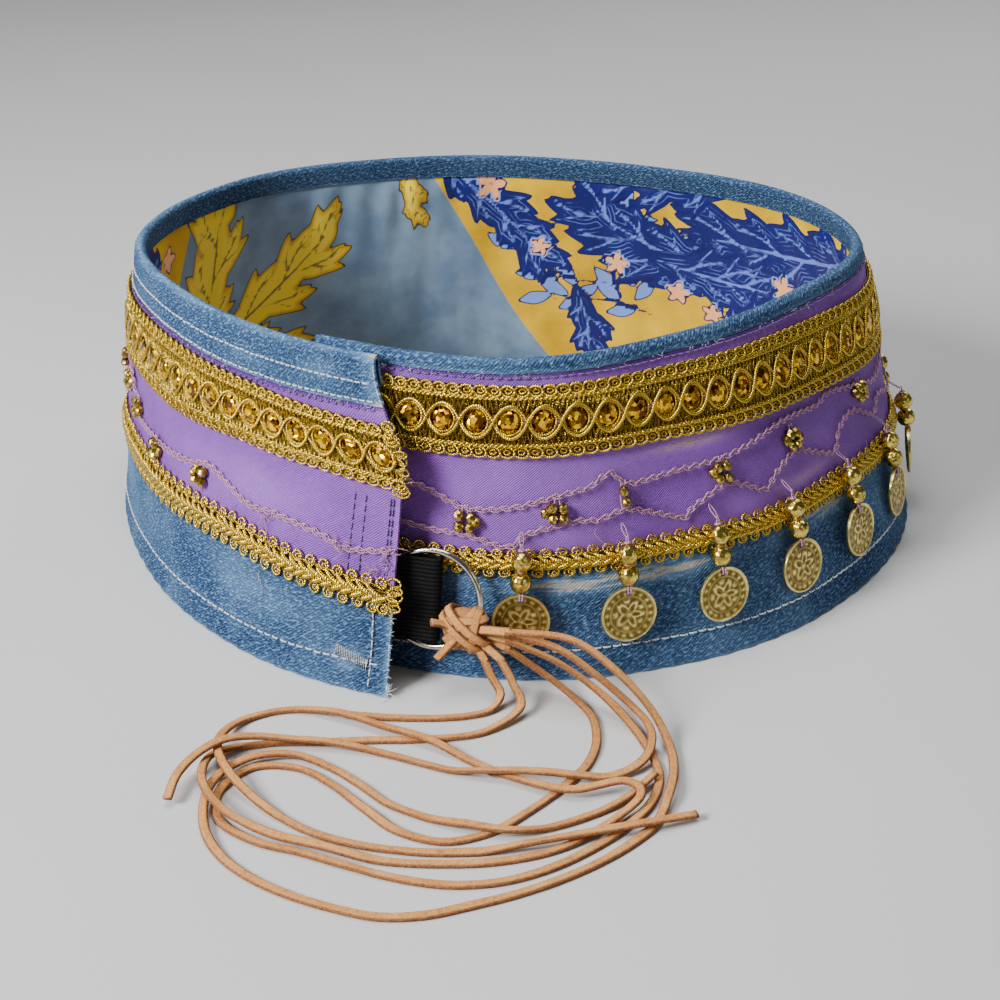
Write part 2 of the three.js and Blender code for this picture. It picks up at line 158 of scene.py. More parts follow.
class BeltSurface:
    """The belt's outer face by turn round the plan, height and distance out of it."""

    PLAN_TOP = np.array([125, 114.5, 116.5, 132, 127.5, 113.5, 114, 126, 145.5, 151, 134, 125.5])
    PLAN_HEM = np.array([147, 148.5, 152.5, 159.5, 155, 140, 136, 152, 167.5, 164, 150.5, 145])
    PROUD_TOP, PROUD_HEM = 7.4, 19.2
    FLAP_EASE = (260.0, 340.0)
    SLANT_BACK, SLANT_TURNS, SLANT_HEIGHTS = 5.6, (308.0, 344.0), (72.0, 110.0)
    SEAM_TURNS = (-34, 20, 50, 80, 150, 270, 300, 318, 332, 344)
    SEAM_HEIGHTS = {
        "band": (105.3, 105.3, 105.2, 105.2, 104, 95.2, 94.6, 94, 94.4, 94.4),
        "braid_top": (102.8, 102.2, 101.4, 98.8, 99, 94, 94, 92.8, 91.2, 89.6),
        "braid_low": (78.2, 78.2, 76, 73.2, 73.5, 69.6, 69.8, 72, 71.6, 69.2),
        "gimp_top": (46.6, 46.4, 45.4, 45.6, 45.6, 43.6, 45.4, 45.6, 42, 38.8),
        "gimp_low": (38.6, 38.2, 37.4, 37.6, 37.6, 32.6, 34, 35.4, 32, 28.8),
    }
    ARC_HEIGHT = 55.0

    def __init__(self) -> None:
        """Measures the way round the belt."""
        self._turns = np.linspace(UNDER_END - 4, FLAP_END + 6, 4001)
        line = self.plan_point(self._turns, np.full_like(self._turns, self.ARC_HEIGHT))
        steps = np.linalg.norm(np.diff(line, axis=0), axis=1)
        run = np.concatenate([[0.0], np.cumsum(steps)])
        self._arcs = run - np.interp(UNDER_END, self._turns, run)

    @staticmethod
    def smooth(value: Array, ends: tuple[float, float]) -> Array:
        """Smooth step from 0 to 1 between two ends."""
        share = np.clip((value - ends[0]) / (ends[1] - ends[0]), 0, 1)
        return share * share * (3 - 2 * share)

    @staticmethod
    def _plan(turn: Array, rows: Array) -> Array:
        """Periodic cubic through the plan's radii."""
        place = np.mod(turn, 360.0) / (360.0 / len(rows))
        row = np.floor(place).astype(int)
        t = place - row
        a, b, c, d = (rows[(row + k) % len(rows)] for k in (-1, 0, 1, 2))
        curve = 2 * b + (c - a) * t + (2 * a - 5 * b + 4 * c - d) * t**2
        return 0.5 * (curve + (3 * b - a - 3 * c + d) * t**3)

    def plan_point(self, turn: Array, z: Array) -> Array:
        """Points of the belt's face itself, in millimetres."""
        up = z / HEIGHT
        ease = self.smooth(turn, self.FLAP_EASE)
        proud = (self.PROUD_HEM + (self.PROUD_TOP - self.PROUD_HEM) * up) * ease
        hem, top = self._plan(turn, self.PLAN_HEM), self._plan(turn, self.PLAN_TOP)
        r = hem + (top - hem) * up + proud
        a = np.radians(turn)
        return xyz(r * np.sin(a), -r * np.cos(a), z)

    def outward(self, turn: Array, z: Array) -> Array:
        """Level direction straight out of the wall."""
        along = self.plan_point(turn + 0.5, z) - self.plan_point(turn - 0.5, z)
        return unit(xyz(along[..., 1], -along[..., 0], 0.0))

    @staticmethod
    def crease(turn: Array, z: Array) -> Array:
        """How far the folds move the cloth out, in millimetres."""
        up = z / HEIGHT
        total = np.zeros(np.broadcast(turn, z).shape)
        for fold in FOLDS:
            across = turn - fold.turn - fold.lean * (up - 0.5)
            total += fold.depth * bell(across, fold.width) * bell(up - fold.high, FOLD_REACH)
        return total

    def wall(self, turn: Array, z: Array, off: Array) -> Array:
        """Points at a turn and height, moved out of the creased face by off."""
        turn, z, off = np.broadcast_arrays(turn, z, off)
        slant = self.smooth(turn, self.SLANT_TURNS) * self.smooth(z, self.SLANT_HEIGHTS)
        at = turn - self.SLANT_BACK * slant
        return self.plan_point(at, z) + self.outward(at, z) * (off + self.crease(turn, z))[..., None]

    def seam(self, turn: Array, name: str) -> Array:
        """Height of a seam or braid edge."""
        return np.interp(turn, self.SEAM_TURNS, self.SEAM_HEIGHTS[name])

    def arc(self, turn: Array) -> Array:
        """Length round the belt from its hidden end, in millimetres."""
        return np.interp(turn, self._turns, self._arcs)

    def arc_at(self, turn: float) -> float:
        """Length round the belt at one turn."""
        return float(self.arc(np.array(float(turn))))

    def turn_at(self, arc: Array) -> Array:
        """Turn at a length round the belt."""
        return np.interp(arc, self._arcs, self._turns)

    def lay(self, flat: Array) -> Array:
        """Moves flat points (length round, height, out of the wall) onto the belt."""
        return self.wall(self.turn_at(flat[..., 0]), flat[..., 1], flat[..., 2])


BELT = BeltSurface()
LENGTH = BELT.arc_at(FLAP_END)


# ---- meshes --------------------------------------------------------------------------------------
@dataclass
class Shape:
    """Points, quads or triangles, corner UVs and point attributes of a mesh to be."""

    points: Array
    faces: Array
    uv: Array
    values: dict[str, Array] = field(default_factory=dict)

    def moved(self, change: Callable[[Array], Array]) -> "Shape":
        """The same shape with its points moved by a function."""
        return Shape(change(self.points), self.faces, self.uv, self.values)


def join(shapes: Iterable[Shape]) -> Shape:
    """One shape from several that carry the same attributes."""
    parts = list(shapes)
    starts = np.cumsum([0] + [len(s.points) for s in parts[:-1]])
    names = parts[0].values
    return Shape(
        np.concatenate([s.points for s in parts]),
        np.concatenate([s.faces + k for s, k in zip(parts, starts)]),
        np.concatenate([s.uv for s in parts]),
        {n: np.concatenate([s.values[n] for s in parts]) for n in names},
    )


def lattice(rows: int, columns: int, wrap: bool) -> tuple[Array, Array, Array]:
    """Quads of a grid, with the row and the unwrapped column of each corner."""
    r = np.arange(rows - 1)[:, None, None]
    c = np.arange(columns if wrap else columns - 1)[None, :, None]
    corner_r = (r + np.array([0, 1, 1, 0]) + 0 * c).reshape(-1, 4)
    corner_c = (c + np.array([0, 0, 1, 1]) + 0 * r).reshape(-1, 4)
    return corner_r * columns + corner_c % columns, corner_r, corner_c


def swept(rings: Array, u: Array, caps: bool = True) -> Shape:
    """Closed tube through rings of points.

    Args:
        rings: (path, ring, side, 3) points, all paths alike.
        u: (path, ring) length along each path, in metres.
        caps: closes the ends with a fan of quads.
    """
    paths, n, sides, _ = rings.shape
    quads, row, column = lattice(n, sides, True)
    starts = (np.arange(paths) * n * sides)[:, None, None]
    uv = np.stack(np.broadcast_arrays(u[:, row], (column / sides)[None]), axis=-1)
    faces, uvs = (quads[None] + starts).reshape(-1, 4), uv.reshape(-1, 4, 2)
    if caps:
        k = np.arange(1, sides - 2, 2)
        fan = np.stack([0 * k, k, k + 1, k + 2], axis=-1)
        ends = np.concatenate([fan, fan[:, ::-1] + (n - 1) * sides])
        ends = (ends[None] + starts).reshape(-1, 4)
        faces = np.concatenate([faces, ends])
        uvs = np.concatenate([uvs, np.zeros((len(ends), 4, 2))])
    return Shape(rings.reshape(-1, 3), faces, uvs)


def tubes(
    paths: Array,
    radius: float | Array,
    up: Sequence[float] = (0, 0, 1),
    sides: int = 6,
    flat: float = 1.0,
    closed: bool = False,
) -> Shape:
    """Round or flattened cords along many paths of the same number of points.

    Args:
        paths: (path, point, 3) centre lines.
        radius: half width, one number or one for each point.
        up: direction that the flat side faces.
        sides: an even number of sides.
        flat: thickness as a share of the width.
        closed: joins each path's last point to its first.
    """
    if closed:
        paths = np.concatenate([paths, paths[:, :1]], axis=1)
        ahead = np.roll(paths[:, :-1], -1, axis=1) - np.roll(paths[:, :-1], 1, axis=1)
        ahead = np.concatenate([ahead, ahead[:, :1]], axis=1)
    else:
        ahead = np.gradient(paths, axis=1)
    ahead = unit(ahead)
    side = unit(np.cross(ahead, np.broadcast_to(np.asarray(up, float), ahead.shape)))
    top = np.cross(side, ahead)
    turn = 2 * np.pi * (np.arange(sides) + 0.5) / sides
    r = np.broadcast_to(np.asarray(radius, float), paths.shape[:2])[:, :, None, None]
    ring = np.cos(turn)[:, None] * side[:, :, None] + flat * np.sin(turn)[:, None] * top[:, :, None]
    steps = np.linalg.norm(np.diff(paths, axis=1), axis=-1) * MM
    u = np.concatenate([np.zeros((len(paths), 1)), np.cumsum(steps, axis=1)], axis=1)
    return swept(paths[:, :, None] + r * ring, u, caps=not closed)


def thick_sheet(outer: Array, inner: Array, u: Array, v: Array) -> Shape:
    """Closed cloth between two grids of points, rows along the belt and columns across."""
    n, m, _ = outer.shape
    quads, row, column = lattice(n, m, False)
    uv = np.stack([u[row, column], v[row, column]], axis=-1)
    back = quads[:, ::-1] + n * m
    ends = np.arange(m), (n - 1) * m + np.arange(m - 2, -1, -1)
    rim = np.concatenate([ends[0], np.arange(1, n) * m + m - 1, ends[1], np.arange(n - 2, 0, -1) * m])
    following = np.roll(rim, -1)
    edge = np.stack([following, rim, rim + n * m, following + n * m], axis=-1)
    flat_uv = np.stack([u.reshape(-1), v.reshape(-1)], axis=-1)
    edge_uv = flat_uv[edge % (n * m)]
    return Shape(
        np.concatenate([outer.reshape(-1, 3), inner.reshape(-1, 3)]),
        np.concatenate([quads, back, edge]),
        np.concatenate([uv, uv[:, ::-1], edge_uv]),
    )


def signed_volume(shape: Shape) -> float:
    """Volume that the faces enclose, negative when they face inwards."""
    a, b, c, d = (shape.points[shape.faces[:, k]] for k in range(4))
    one = np.einsum("ij,ij->i", a, np.cross(b, c))
    two = np.einsum("ij,ij->i", a, np.cross(c, d))
    return float((one + two).sum() / 6)


class Piece:
    """Makes one object of the scene and hangs it on its CAD body."""

    @staticmethod
    def make(
        name: str,
        shape: Shape,
        material: bpy.types.Material,
        slot: Slot,
        body: str = "root",
        replaces: Sequence[str] = (),
        sharp: float | None = None,
    ) -> bpy.types.Object:
        """Builds the mesh from a shape in plan millimetres.

        Args:
            name: the object's name.
            shape: closed shape whose quads all face one way.
            material: its finish.
            slot: the record's slot; not used.
            body: the CAD body it rides on.
            replaces: CAD nodes it stands for.
            sharp: angle in degrees over which edges stay sharp.

        Returns:
            The new object.
        """
        if signed_volume(shape) < 0:
            shape = Shape(shape.points, shape.faces[:, ::-1], shape.uv[:, ::-1], shape.values)
        mesh = bpy.data.meshes.new(name)
        points = (shape.points + FRAME_SHIFT) * MM
        repeated = shape.faces[:, 3] == shape.faces[:, 0]
        faces = [f[:3] if flat else f for f, flat in zip(shape.faces.tolist(), repeated)]
        mesh.from_pydata(points.tolist(), [], faces)
        keep = np.ones(shape.faces.shape, bool)
        keep[repeated, 3] = False
        layer = mesh.uv_layers.new(name="Weave")
        layer.data.foreach_set("uv", shape.uv[keep].astype(np.float32).ravel())
        for key, value in shape.values.items():
            attribute = mesh.attributes.new(key, "FLOAT", "POINT")
            attribute.data.foreach_set("value", value.astype(np.float32))
        mesh.shade_smooth()
        if sharp is not None:
            mesh.set_sharp_from_angle(angle=math.radians(sharp))
        mesh.materials.append(material)
        obj = bpy.data.objects.new(name, mesh)
        bpy.context.scene.collection.objects.link(obj)
        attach(obj, body)
        if replaces:
            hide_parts(*replaces)
        return obj


# ---- finishes ------------------------------------------------------------------------------------
Colour = tuple[float, float, float]


class Wire:
    """One output of a node, with the sums and patterns that are made from it."""

    def __init__(self, graph: "Graph", socket: bpy.types.NodeSocket) -> None:
        """Keeps the tree that it belongs to and the output."""
        self.graph, self.socket = graph, socket

    def of(self, name: str) -> "Wire":
        """Another output of the same node."""
        return Wire(self.graph, self.socket.node.outputs[name])

    def math(self, operation: str, other: "Wire | float" = 0.0, clamp: bool = False) -> "Wire":
        """One sum of this value and another."""
        return self.graph.node("Math", {0: self, 1: other}, operation=operation, use_clamp=clamp)

    def __add__(self, other: "Wire | float") -> "Wire":
        """This value and another."""
        return self.math("ADD", other)

    def __mul__(self, other: "Wire | float") -> "Wire":
        """This value times another."""
        return self.math("MULTIPLY", other)

    def plus(self, other: "Wire | float") -> "Wire":
        """Sum that is kept between 0 and 1."""
        return self.math("ADD", other, clamp=True)

    def most(self, other: "Wire | float") -> "Wire":
        """The greater of two values."""
        return self.math("MAXIMUM", other)

    def wave(self, times: float = 1.0) -> "Wire":
        """Sine, from -1 to 1, of so many whole turns of this value."""
        return (self * (2 * math.pi * times)).math("SINE")

    def ramp(self, low: float, high: float, to_low: float = 0.0, to_high: float = 1.0) -> "Wire":
        """A smooth step between two values."""
        inputs = {"Value": self, "From Min": low, "From Max": high, "To Min": to_low, "To Max": to_high}
        return self.graph.node("MapRange", inputs, interpolation_type="SMOOTHSTEP")

    def mix(self, first: "Wire | Colour", second: "Wire | Colour") -> "Wire":
        """A colour between two, with this value as the share of the second."""
        return self.graph.node("Mix", {0: self, 6: first, 7: second}, 2, data_type="RGBA")

    def scaled(self, *scale: float) -> "Wire":
        """This vector times three numbers."""
        return self.graph.node("VectorMath", {0: self, 1: scale}, operation="MULTIPLY")

    def noise(self, scale: float, detail: float = 3.0, rough: float = 0.55) -> "Wire":
        """A noise value from 0 to 1 at this vector."""
        inputs = {"Vector": self, "Scale": scale, "Detail": detail, "Roughness": rough}
        return self.graph.node("TexNoise", inputs)

    def bump(self, distance: float, strength: float, under: "Wire | None" = None) -> "Wire":
        """A normal from this height, distance in metres, on top of another normal."""
        inputs = {"Height": self, "Distance": distance, "Strength": strength}
        return self.graph.node("Bump", inputs if under is None else {**inputs, "Normal": under})


class Graph:
    """A node tree and short calls for its nodes."""

    def __init__(self, tree: bpy.types.NodeTree) -> None:
        """Keeps the tree."""
        self.tree = tree

    def put(self, socket: bpy.types.NodeSocket, value: Wire | float | Sequence[float]) -> None:
        """Links a wire to an input, or sets its value."""
        if isinstance(value, Wire):
            self.tree.links.new(value.socket, socket)
        else:
            socket.default_value = (*value, 1.0) if socket.type == "RGBA" else value

    def node(self, kind: str, inputs: dict | None = None, out: int | str = 0, **settings: object) -> Wire:
        """A shader node with its settings and inputs, known by one of its outputs."""
        made = self.tree.nodes.new(f"ShaderNode{kind}")
        for key, value in settings.items():
            setattr(made, key, value)
        for key, value in (inputs or {}).items():
            self.put(made.inputs[key], value)
        return Wire(self, made.outputs[out])

    def uv(self) -> Wire:
        """The piece's own UVs."""
        return self.node("UVMap", uv_map="Weave")

    def place(self) -> Wire:
        """Object coordinates, in metres."""
        return self.node("TexCoord", out="Object")

    def value(self, name: str) -> Wire:
        """A point attribute."""
        return self.node("Attribute", out="Fac", attribute_name=name)

    def apart(self, vector: Wire) -> tuple[Wire, Wire]:
        """The first two numbers of a vector."""
        parts = self.node("SeparateXYZ", {0: vector})
        return parts.of("X"), parts.of("Y")


class Finish(Graph):
    """A material with one shader."""

    def __init__(self, name: str) -> None:
        """Makes the material with its shader and output."""
        self.material = bpy.data.materials.new(name)
        self.material.use_nodes = True
        super().__init__(self.material.node_tree)
        self.tree.nodes.clear()
        self.shader = self.tree.nodes.new("ShaderNodeBsdfPrincipled")
        output = self.tree.nodes.new("ShaderNodeOutputMaterial")
        self.tree.links.new(self.shader.outputs["BSDF"], output.inputs["Surface"])

    def set(self, **inputs: Wire | float | Colour) -> bpy.types.Material:
        """Sets or links the shader's inputs, underscores standing for spaces, and returns the material."""
        for key, value in inputs.items():
            self.put(self.shader.inputs[key.replace("_", " ")], value)
        return self.material


def twill_group() -> bpy.types.NodeTree:
    """Shared group: diagonal weave on UVs in metres, giving its height and the slubs along it."""
    tree = bpy.data.node_groups.new("DiagonalWeave", "ShaderNodeTree")
    sockets = (
        ("UV", "IN", "Vector"), ("Lines", "IN", "Float"),
        ("Height", "OUT", "Float"), ("Slub", "OUT", "Float"),
    )
    for name, way, kind in sockets:
        tree.interface.new_socket(name, in_out=f"{way}PUT", socket_type=f"NodeSocket{kind}")
    g = Graph(tree)
    uv = Wire(g, tree.nodes.new("NodeGroupInput").outputs["UV"])
    x, y = g.apart(uv)
    phase = y.math("SUBTRACT", x * 0.8) * uv.of("Lines") + uv.noise(260.0, 2.0, 0.5) * 0.9
    angle = math.radians(-14)
    spun = g.node("VectorRotate", {"Vector": uv, "Angle": angle}, rotation_type="Z_AXIS")
    target = tree.nodes.new("NodeGroupOutput")
    g.put(target.inputs["Height"], phase.wave() * 0.5 + 0.5)
    g.put(target.inputs["Slub"], spun.scaled(0.42, 1.0, 1.0).noise(1350.0, 2.0, 0.5))
    return tree


@dataclass(frozen=True)
class Metal:
    """Colours and gloss of a metallic finish, colours linear."""

    dark: Colour
    light: Colour
    rough: float
    metal: float = 1.0
    grain: float = 900.0
    dent: float = 0.0


@dataclass(frozen=True)
class ClothTone:
    """Colours of a woven finish, colours linear, with its twill lines to the metre."""

    deep: Colour
    body: Colour
    pale: Colour
    bare: Colour
    lines: float


@dataclass(frozen=True)
class PrintTone:
    """Colours of the printed satin, linear, the pairs from dark to light."""

    blue: tuple[Colour, Colour] = ((0.12, 0.20, 0.32), (0.22, 0.33, 0.46))
    yellow: tuple[Colour, Colour] = ((0.60, 0.34, 0.0), (0.82, 0.51, 0.006))
    gold_leaf: tuple[Colour, Colour] = ((0.60, 0.34, 0.004), (0.95, 0.70, 0.04))
    navy_leaf: tuple[Colour, Colour] = ((0.009, 0.012, 0.135), (0.16, 0.25, 0.74))
    stem_leaf: Colour = (0.19, 0.30, 0.74)
    bud: Colour = (1.0, 0.46, 0.20)
    ink: tuple[Colour, Colour] = ((0.075, 0.05, 0.02), (0.006, 0.008, 0.10))


@dataclass(frozen=True)
class SuedeTone:
    """Colours of the laces, linear."""

    face: tuple[Colour, Colour] = ((0.36, 0.14, 0.042), (0.67, 0.31, 0.098))
    blotch: Colour = (0.76, 0.41, 0.15)
    streak: Colour = (0.26, 0.11, 0.045)
    cut_edge: tuple[Colour, Colour] = ((0.13, 0.045, 0.016), (0.38, 0.165, 0.07))


DENIM_TONE = ClothTone(
    (0.002, 0.010, 0.040), (0.011, 0.043, 0.125), (0.20, 0.365, 0.60), (0.52, 0.49, 0.40), 860.0
)
PURPLE_TONE = ClothTone(
    (0.12, 0.034, 0.27), (0.28, 0.096, 0.49), (0.50, 0.235, 0.76), (0.50, 0.36, 0.27), 1150.0
)
# Thread colours: dark is painted shade between the plies, light is the thread with its painted glints.
GOLD_THREAD = Metal((0.115, 0.055, 0.002), (1.0, 0.70, 0.085), 0.25, 1.0, 2200.0)
MAUVE_THREAD = Metal((0.12, 0.035, 0.10), (0.70, 0.38, 0.54), 0.42, 0.2, 2600.0)
OLIVE_BRASS = Metal((0.15, 0.10, 0.02), (0.90, 0.72, 0.24), 0.34, 1.0, 500.0)
GOLD_BEAD = Metal((0.36, 0.25, 0.03), (0.90, 0.71, 0.16), 0.2, 1.0, 700.0, 0.65)
OLD_GOLD = Metal((0.20, 0.125, 0.012), (0.66, 0.49, 0.11), 0.24, 1.0, 900.0, 0.5)
NICKEL = Metal((0.44, 0.40, 0.33), (0.80, 0.76, 0.68), 0.14, 1.0, 300.0)


class Finishes:
    """Every material of the belt, each made once."""

    def __init__(self) -> None:
        """Makes the materials."""
        self.twill = twill_group()
        self.denim = self._denim("Denim", 0.12)
        self.denim_worn = self._denim("DenimWorn", 0.26)
        self.purple = self._purple()
        self.lining = self._lining(PrintTone())
        self.gold = self._thread("GoldCord", GOLD_THREAD)
        self.mauve = self._thread("MauveThread", MAUVE_THREAD)
        self.ground = self._shaded_ground()
        self.bar = self._plain_thread("BrownWrap", (0.045, 0.016, 0.004), (0.20, 0.09, 0.02))
        self.pale = self._plain_thread("PaleThread", (0.35, 0.40, 0.46), (0.80, 0.82, 0.82))
        self.violet = self._plain_thread("VioletThread", (0.07, 0.03, 0.16), (0.20, 0.11, 0.36))
        self.stone = self._stone()
        self.coin = self._coin()
        self.bead = self._metal("BeadGold", GOLD_BEAD)
        self.old_bead = self._metal("BeadOldGold", OLD_GOLD)
        self.ring = self._metal("RingMetal", NICKEL)
        self.webbing = self._webbing()
        self.suede = self._suede(SuedeTone())

    def _weave(self, g: Finish, lines: float) -> Wire:
        """Height of the shared weave, so many lines to the metre."""
        return g.node("Group", {"UV": g.uv(), "Lines": lines}, node_tree=self.twill)

    def _denim(self, name: str, patchy: float) -> bpy.types.Material:
        """Indigo twill with pale slubs, worn pale in patches and along its edges."""
        g = Finish(name)
        weave, uv, here = self._weave(g, DENIM_TONE.lines), g.uv(), g.place()
        fleck = uv.scaled(1.0, 0.6, 1.0).noise(2300.0, 2.0).ramp(0.50, 0.74)
        pale = (weave.of("Slub").ramp(0.47, 0.70) * 0.58).most(fleck * 0.5)
        torn = uv.scaled(0.12, 1.0, 1.0).noise(640.0).ramp(0.3, 0.65, 0.35, 1.1)
        wear = (here.noise(34.0, 4.0).ramp(0.35, 0.72) * patchy).plus(g.value("wear") * torn)
        base = weave.mix(DENIM_TONE.deep, DENIM_TONE.body)
        bare = wear.ramp(0.65, 1.0).mix(DENIM_TONE.pale, DENIM_TONE.bare)
        nap = here.noise(2600.0, 2.0).bump(0.0002, 0.35, (weave * 0.55 + pale).bump(0.00035, 0.9))
        colour = pale.plus(wear * 0.72).mix(base, bare)
        return g.set(Base_Color=colour, Roughness=0.88, Normal=nap, Specular_IOR_Level=0.15)

    def _purple(self) -> bpy.types.Material:
        """Fine violet twill with a soft sheen."""
        g = Finish("PurpleTwill")
        weave, here, wear = self._weave(g, PURPLE_TONE.lines), g.place(), g.value("wear")
        cross = g.uv().scaled(0.25, 1.0, 1.0).noise(1700.0, 2.0)
        thread = weave * 0.35 + cross * 0.5
        base = thread.ramp(0.22, 0.66).mix(PURPLE_TONE.deep, PURPLE_TONE.body)
        colour = (here.noise(26.0, 4.0).ramp(0.3, 0.75) * 0.22 + wear * 0.7).mix(base, PURPLE_TONE.pale)
        colour = (wear.ramp(0.35, 0.9) * cross.ramp(0.35, 0.6)).mix(colour, PURPLE_TONE.bare)
        normal = thread.bump(0.0006, 1.0, here.noise(90.0).bump(0.0008, 0.4))
        return g.set(Base_Color=colour, Roughness=0.55, Normal=normal, Specular_IOR_Level=0.3)

    def _lining(self, tone: PrintTone) -> bpy.types.Material:
        """Printed satin: two grounds, lobed leaves with light strokes, veins and outlines, small buds."""
        g = Finish("LiningSatin")
        here, uv = g.place(), g.uv()
        mottle, side = here.noise(48.0, 4.0), g.value("side").ramp(-0.6, 0.6)
        leaf, kind, vein = g.value("leaf"), g.value("tone"), g.value("vein")
        sway = leaf * 3.3 + here.noise(120.0, 1.0) * 1.5
        fine = sway.math("SINE").ramp(0.4, 1.0) * here.noise(90.0).ramp(0.42, 0.6, 0.0, 0.6)
        stroke = vein.ramp(0.1, 0.6, 0.9, 0.0).most(fine) * leaf.ramp(0.5, 1.1)
        light = kind.ramp(0.1, 0.3).mix(stroke.mix(*tone.navy_leaf), tone.stem_leaf)
        leaves = side.mix(leaf.ramp(0.2, 2.6).mix(*tone.gold_leaf), light)
        ground = side.mix(mottle.ramp(0.3, 0.72).mix(*tone.blue), mottle.ramp(0.3, 0.7).mix(*tone.yellow))
        colour = leaf.ramp(-0.1, 0.1).mix(ground, kind.ramp(0.6, 0.9).mix(leaves, tone.bud))
        plain = g.node("Math", {0: 1.0, 1: side}, operation="SUBTRACT")
        inner = (vein.ramp(0.1, 0.5, 0.8, 0.0) * plain).most(g.value("gap").ramp(0.0, 0.4, 0.7, 0.0))
        stem = kind.ramp(-0.6, -0.2, 1.0, 0.0) * leaf.ramp(-0.2, 0.0)
        outline = leaf.math("ABSOLUTE").ramp(0.12, 0.42, 1.0, 0.0)
        drawn = outline.most((inner * leaf.ramp(0.3, 0.8)).most(stem))
        crease = uv.scaled(1.0, 0.3, 1.0).noise(42.0, 1.0).bump(0.012, 0.6)
        soft = here.noise(55.0).bump(0.0015, 0.4, crease)
        normal = uv.scaled(1.0, 0.12, 1.0).noise(2600.0, 2.0).bump(0.00008, 0.35, soft)
        colour = drawn.mix(colour, side.mix(*tone.ink))
        return g.set(Base_Color=colour, Roughness=0.42, Normal=normal, Specular_IOR_Level=0.25)

    def _thread(self, name: str, tone: Metal) -> bpy.types.Material:
        """Wrapped metallic thread: painted shade in the grooves between the plies round each cord, and painted
        glints along it.
        """
        g = Finish(name)
        along, around = g.apart(g.uv())
        ply = (along * 1250.0 + around).wave() * 0.5 + 0.5
        grain = g.place().noise(tone.grain, 3.0, 0.7)
        # Colour: painted shade where the ply wave dips, painted glints where the noise is high.
        share = ply.ramp(0.0, 0.8, 0.3, 1.0) * grain.ramp(0.28, 0.62, 0.5, 1.0)
        normal = grain.bump(0.0002, 0.3, ply.bump(0.00022, 0.6))
        rough = grain.ramp(0.3, 0.7, tone.rough + 0.12, tone.rough - 0.1)
        return g.set(
            Base_Color=share.mix(tone.dark, tone.light), Metallic=tone.metal, Normal=normal, Roughness=rough
        )

    def _plain_thread(self, name: str, dark: Colour, light: Colour) -> bpy.types.Material:
        """Spun thread without metal, with painted shade in the grooves between its plies."""
        g = Finish(name)
        along, around = g.apart(g.uv())
        ply = (along * 900.0 + around).wave()
        # Painted shade: darker where the ply wave dips, lighter on the plies.
        share = (ply + g.place().noise(1800.0)).ramp(-0.6, 1.5)
        return g.set(Base_Color=share.mix(dark, light), Roughness=0.75, Normal=ply.bump(0.00015, 0.6))

    def _shaded_ground(self) -> bpy.types.Material:
        """Braid ground: dark gold net of fine threads, with painted shade, a near-black olive, in its gaps."""
        g = Finish("BraidGroundShadedGaps")
        along, across = g.apart(g.uv())
        grid = along.wave(900).most(across.wave(1100)).ramp(-0.2, 0.9)
        share = grid * g.place().noise(1500.0).ramp(0.3, 0.7)
        # Painted shade in the gaps between the threads; the threads themselves dark gold.
        colour = share.mix((0.035, 0.018, 0.002), (0.52, 0.32, 0.035))
        return g.set(Base_Color=colour, Metallic=0.75, Roughness=0.45, Normal=grid.bump(0.0003, 0.9))

    def _stone(self) -> bpy.types.Material:
        """Clear amber stone over foil: small facets with tipped normals, each painted a random share between dark
        amber shade and a bright amber highlight.
        """
        g = Finish("AmberStone")
        facet = g.node("TexVoronoi", {"Vector": g.place(), "Scale": 620.0, "Randomness": 1.0}, "Color")
        # Painted reflections: each facet's colour lies between painted shade and a painted highlight.
        deep = g.node("SeparateColor", {0: facet}).ramp(0.2, 0.75)
        bend = g.node("VectorMath", {0: facet, 1: (0.5, 0.5, 0.5)}, operation="SUBTRACT")
        lean = g.node("VectorMath", {0: bend, "Scale": 0.75}, operation="SCALE")
        face = g.node("NewGeometry", out="Normal")
        tipped = g.node("VectorMath", {0: face, 1: lean}, operation="ADD")
        normal = g.node("VectorMath", {0: tipped}, operation="NORMALIZE")
        colour = deep.mix((0.12, 0.035, 0.0), (1.0, 0.58, 0.008))
        return g.set(Base_Color=colour, Metallic=0.95, Roughness=0.2, Normal=normal)

    def _coin(self) -> bpy.types.Material:
        """Stamped olive brass, dark in the hollows and rubbed bright on what stands up."""
        g = Finish("CoinBrass")
        rub = g.value("relief").ramp(-0.16, 0.22)
        stain = g.place().noise(240.0, 5.0, 0.65).ramp(0.3, 0.7)
        colour = (rub * stain.ramp(0.0, 1.0, 0.55, 1.0)).mix(OLIVE_BRASS.dark, OLIVE_BRASS.light)
        normal = g.place().noise(1500.0, 4.0).bump(0.00012, 0.4)
        rough = stain.ramp(0.0, 1.0, 0.44, 0.26) + rub * -0.05
        return g.set(Base_Color=colour, Metallic=OLIVE_BRASS.metal, Roughness=rough, Normal=normal)

    def _metal(self, name: str, tone: Metal) -> bpy.types.Material:
        """Plated metal with faint wear."""
        g = Finish(name)
        here = g.place()
        worn = here.noise(tone.grain, 4.0).ramp(0.3, 0.7)
        dents = here.noise(280.0, 1.0).bump(0.002, tone.dent)
        return g.set(
            Base_Color=worn.mix(tone.dark, tone.light),
            Metallic=tone.metal,
            Roughness=worn.ramp(0.0, 1.0, tone.rough + 0.1, tone.rough),
            Normal=here.scaled(1.0, 1.0, 0.2).noise(2400.0, 2.0).bump(0.00006, 0.3, dents),
        )

    def _webbing(self) -> bpy.types.Material:
        """Black ribbed webbing, with painted shade in the grooves between its ribs."""
        g = Finish("Webbing")
        along, across = g.apart(g.uv())
        rib, pick = across.wave(700), along.wave(520)
        height = rib + rib * pick * 0.6
        lint = g.place().noise(1300.0).ramp(0.6, 0.8)
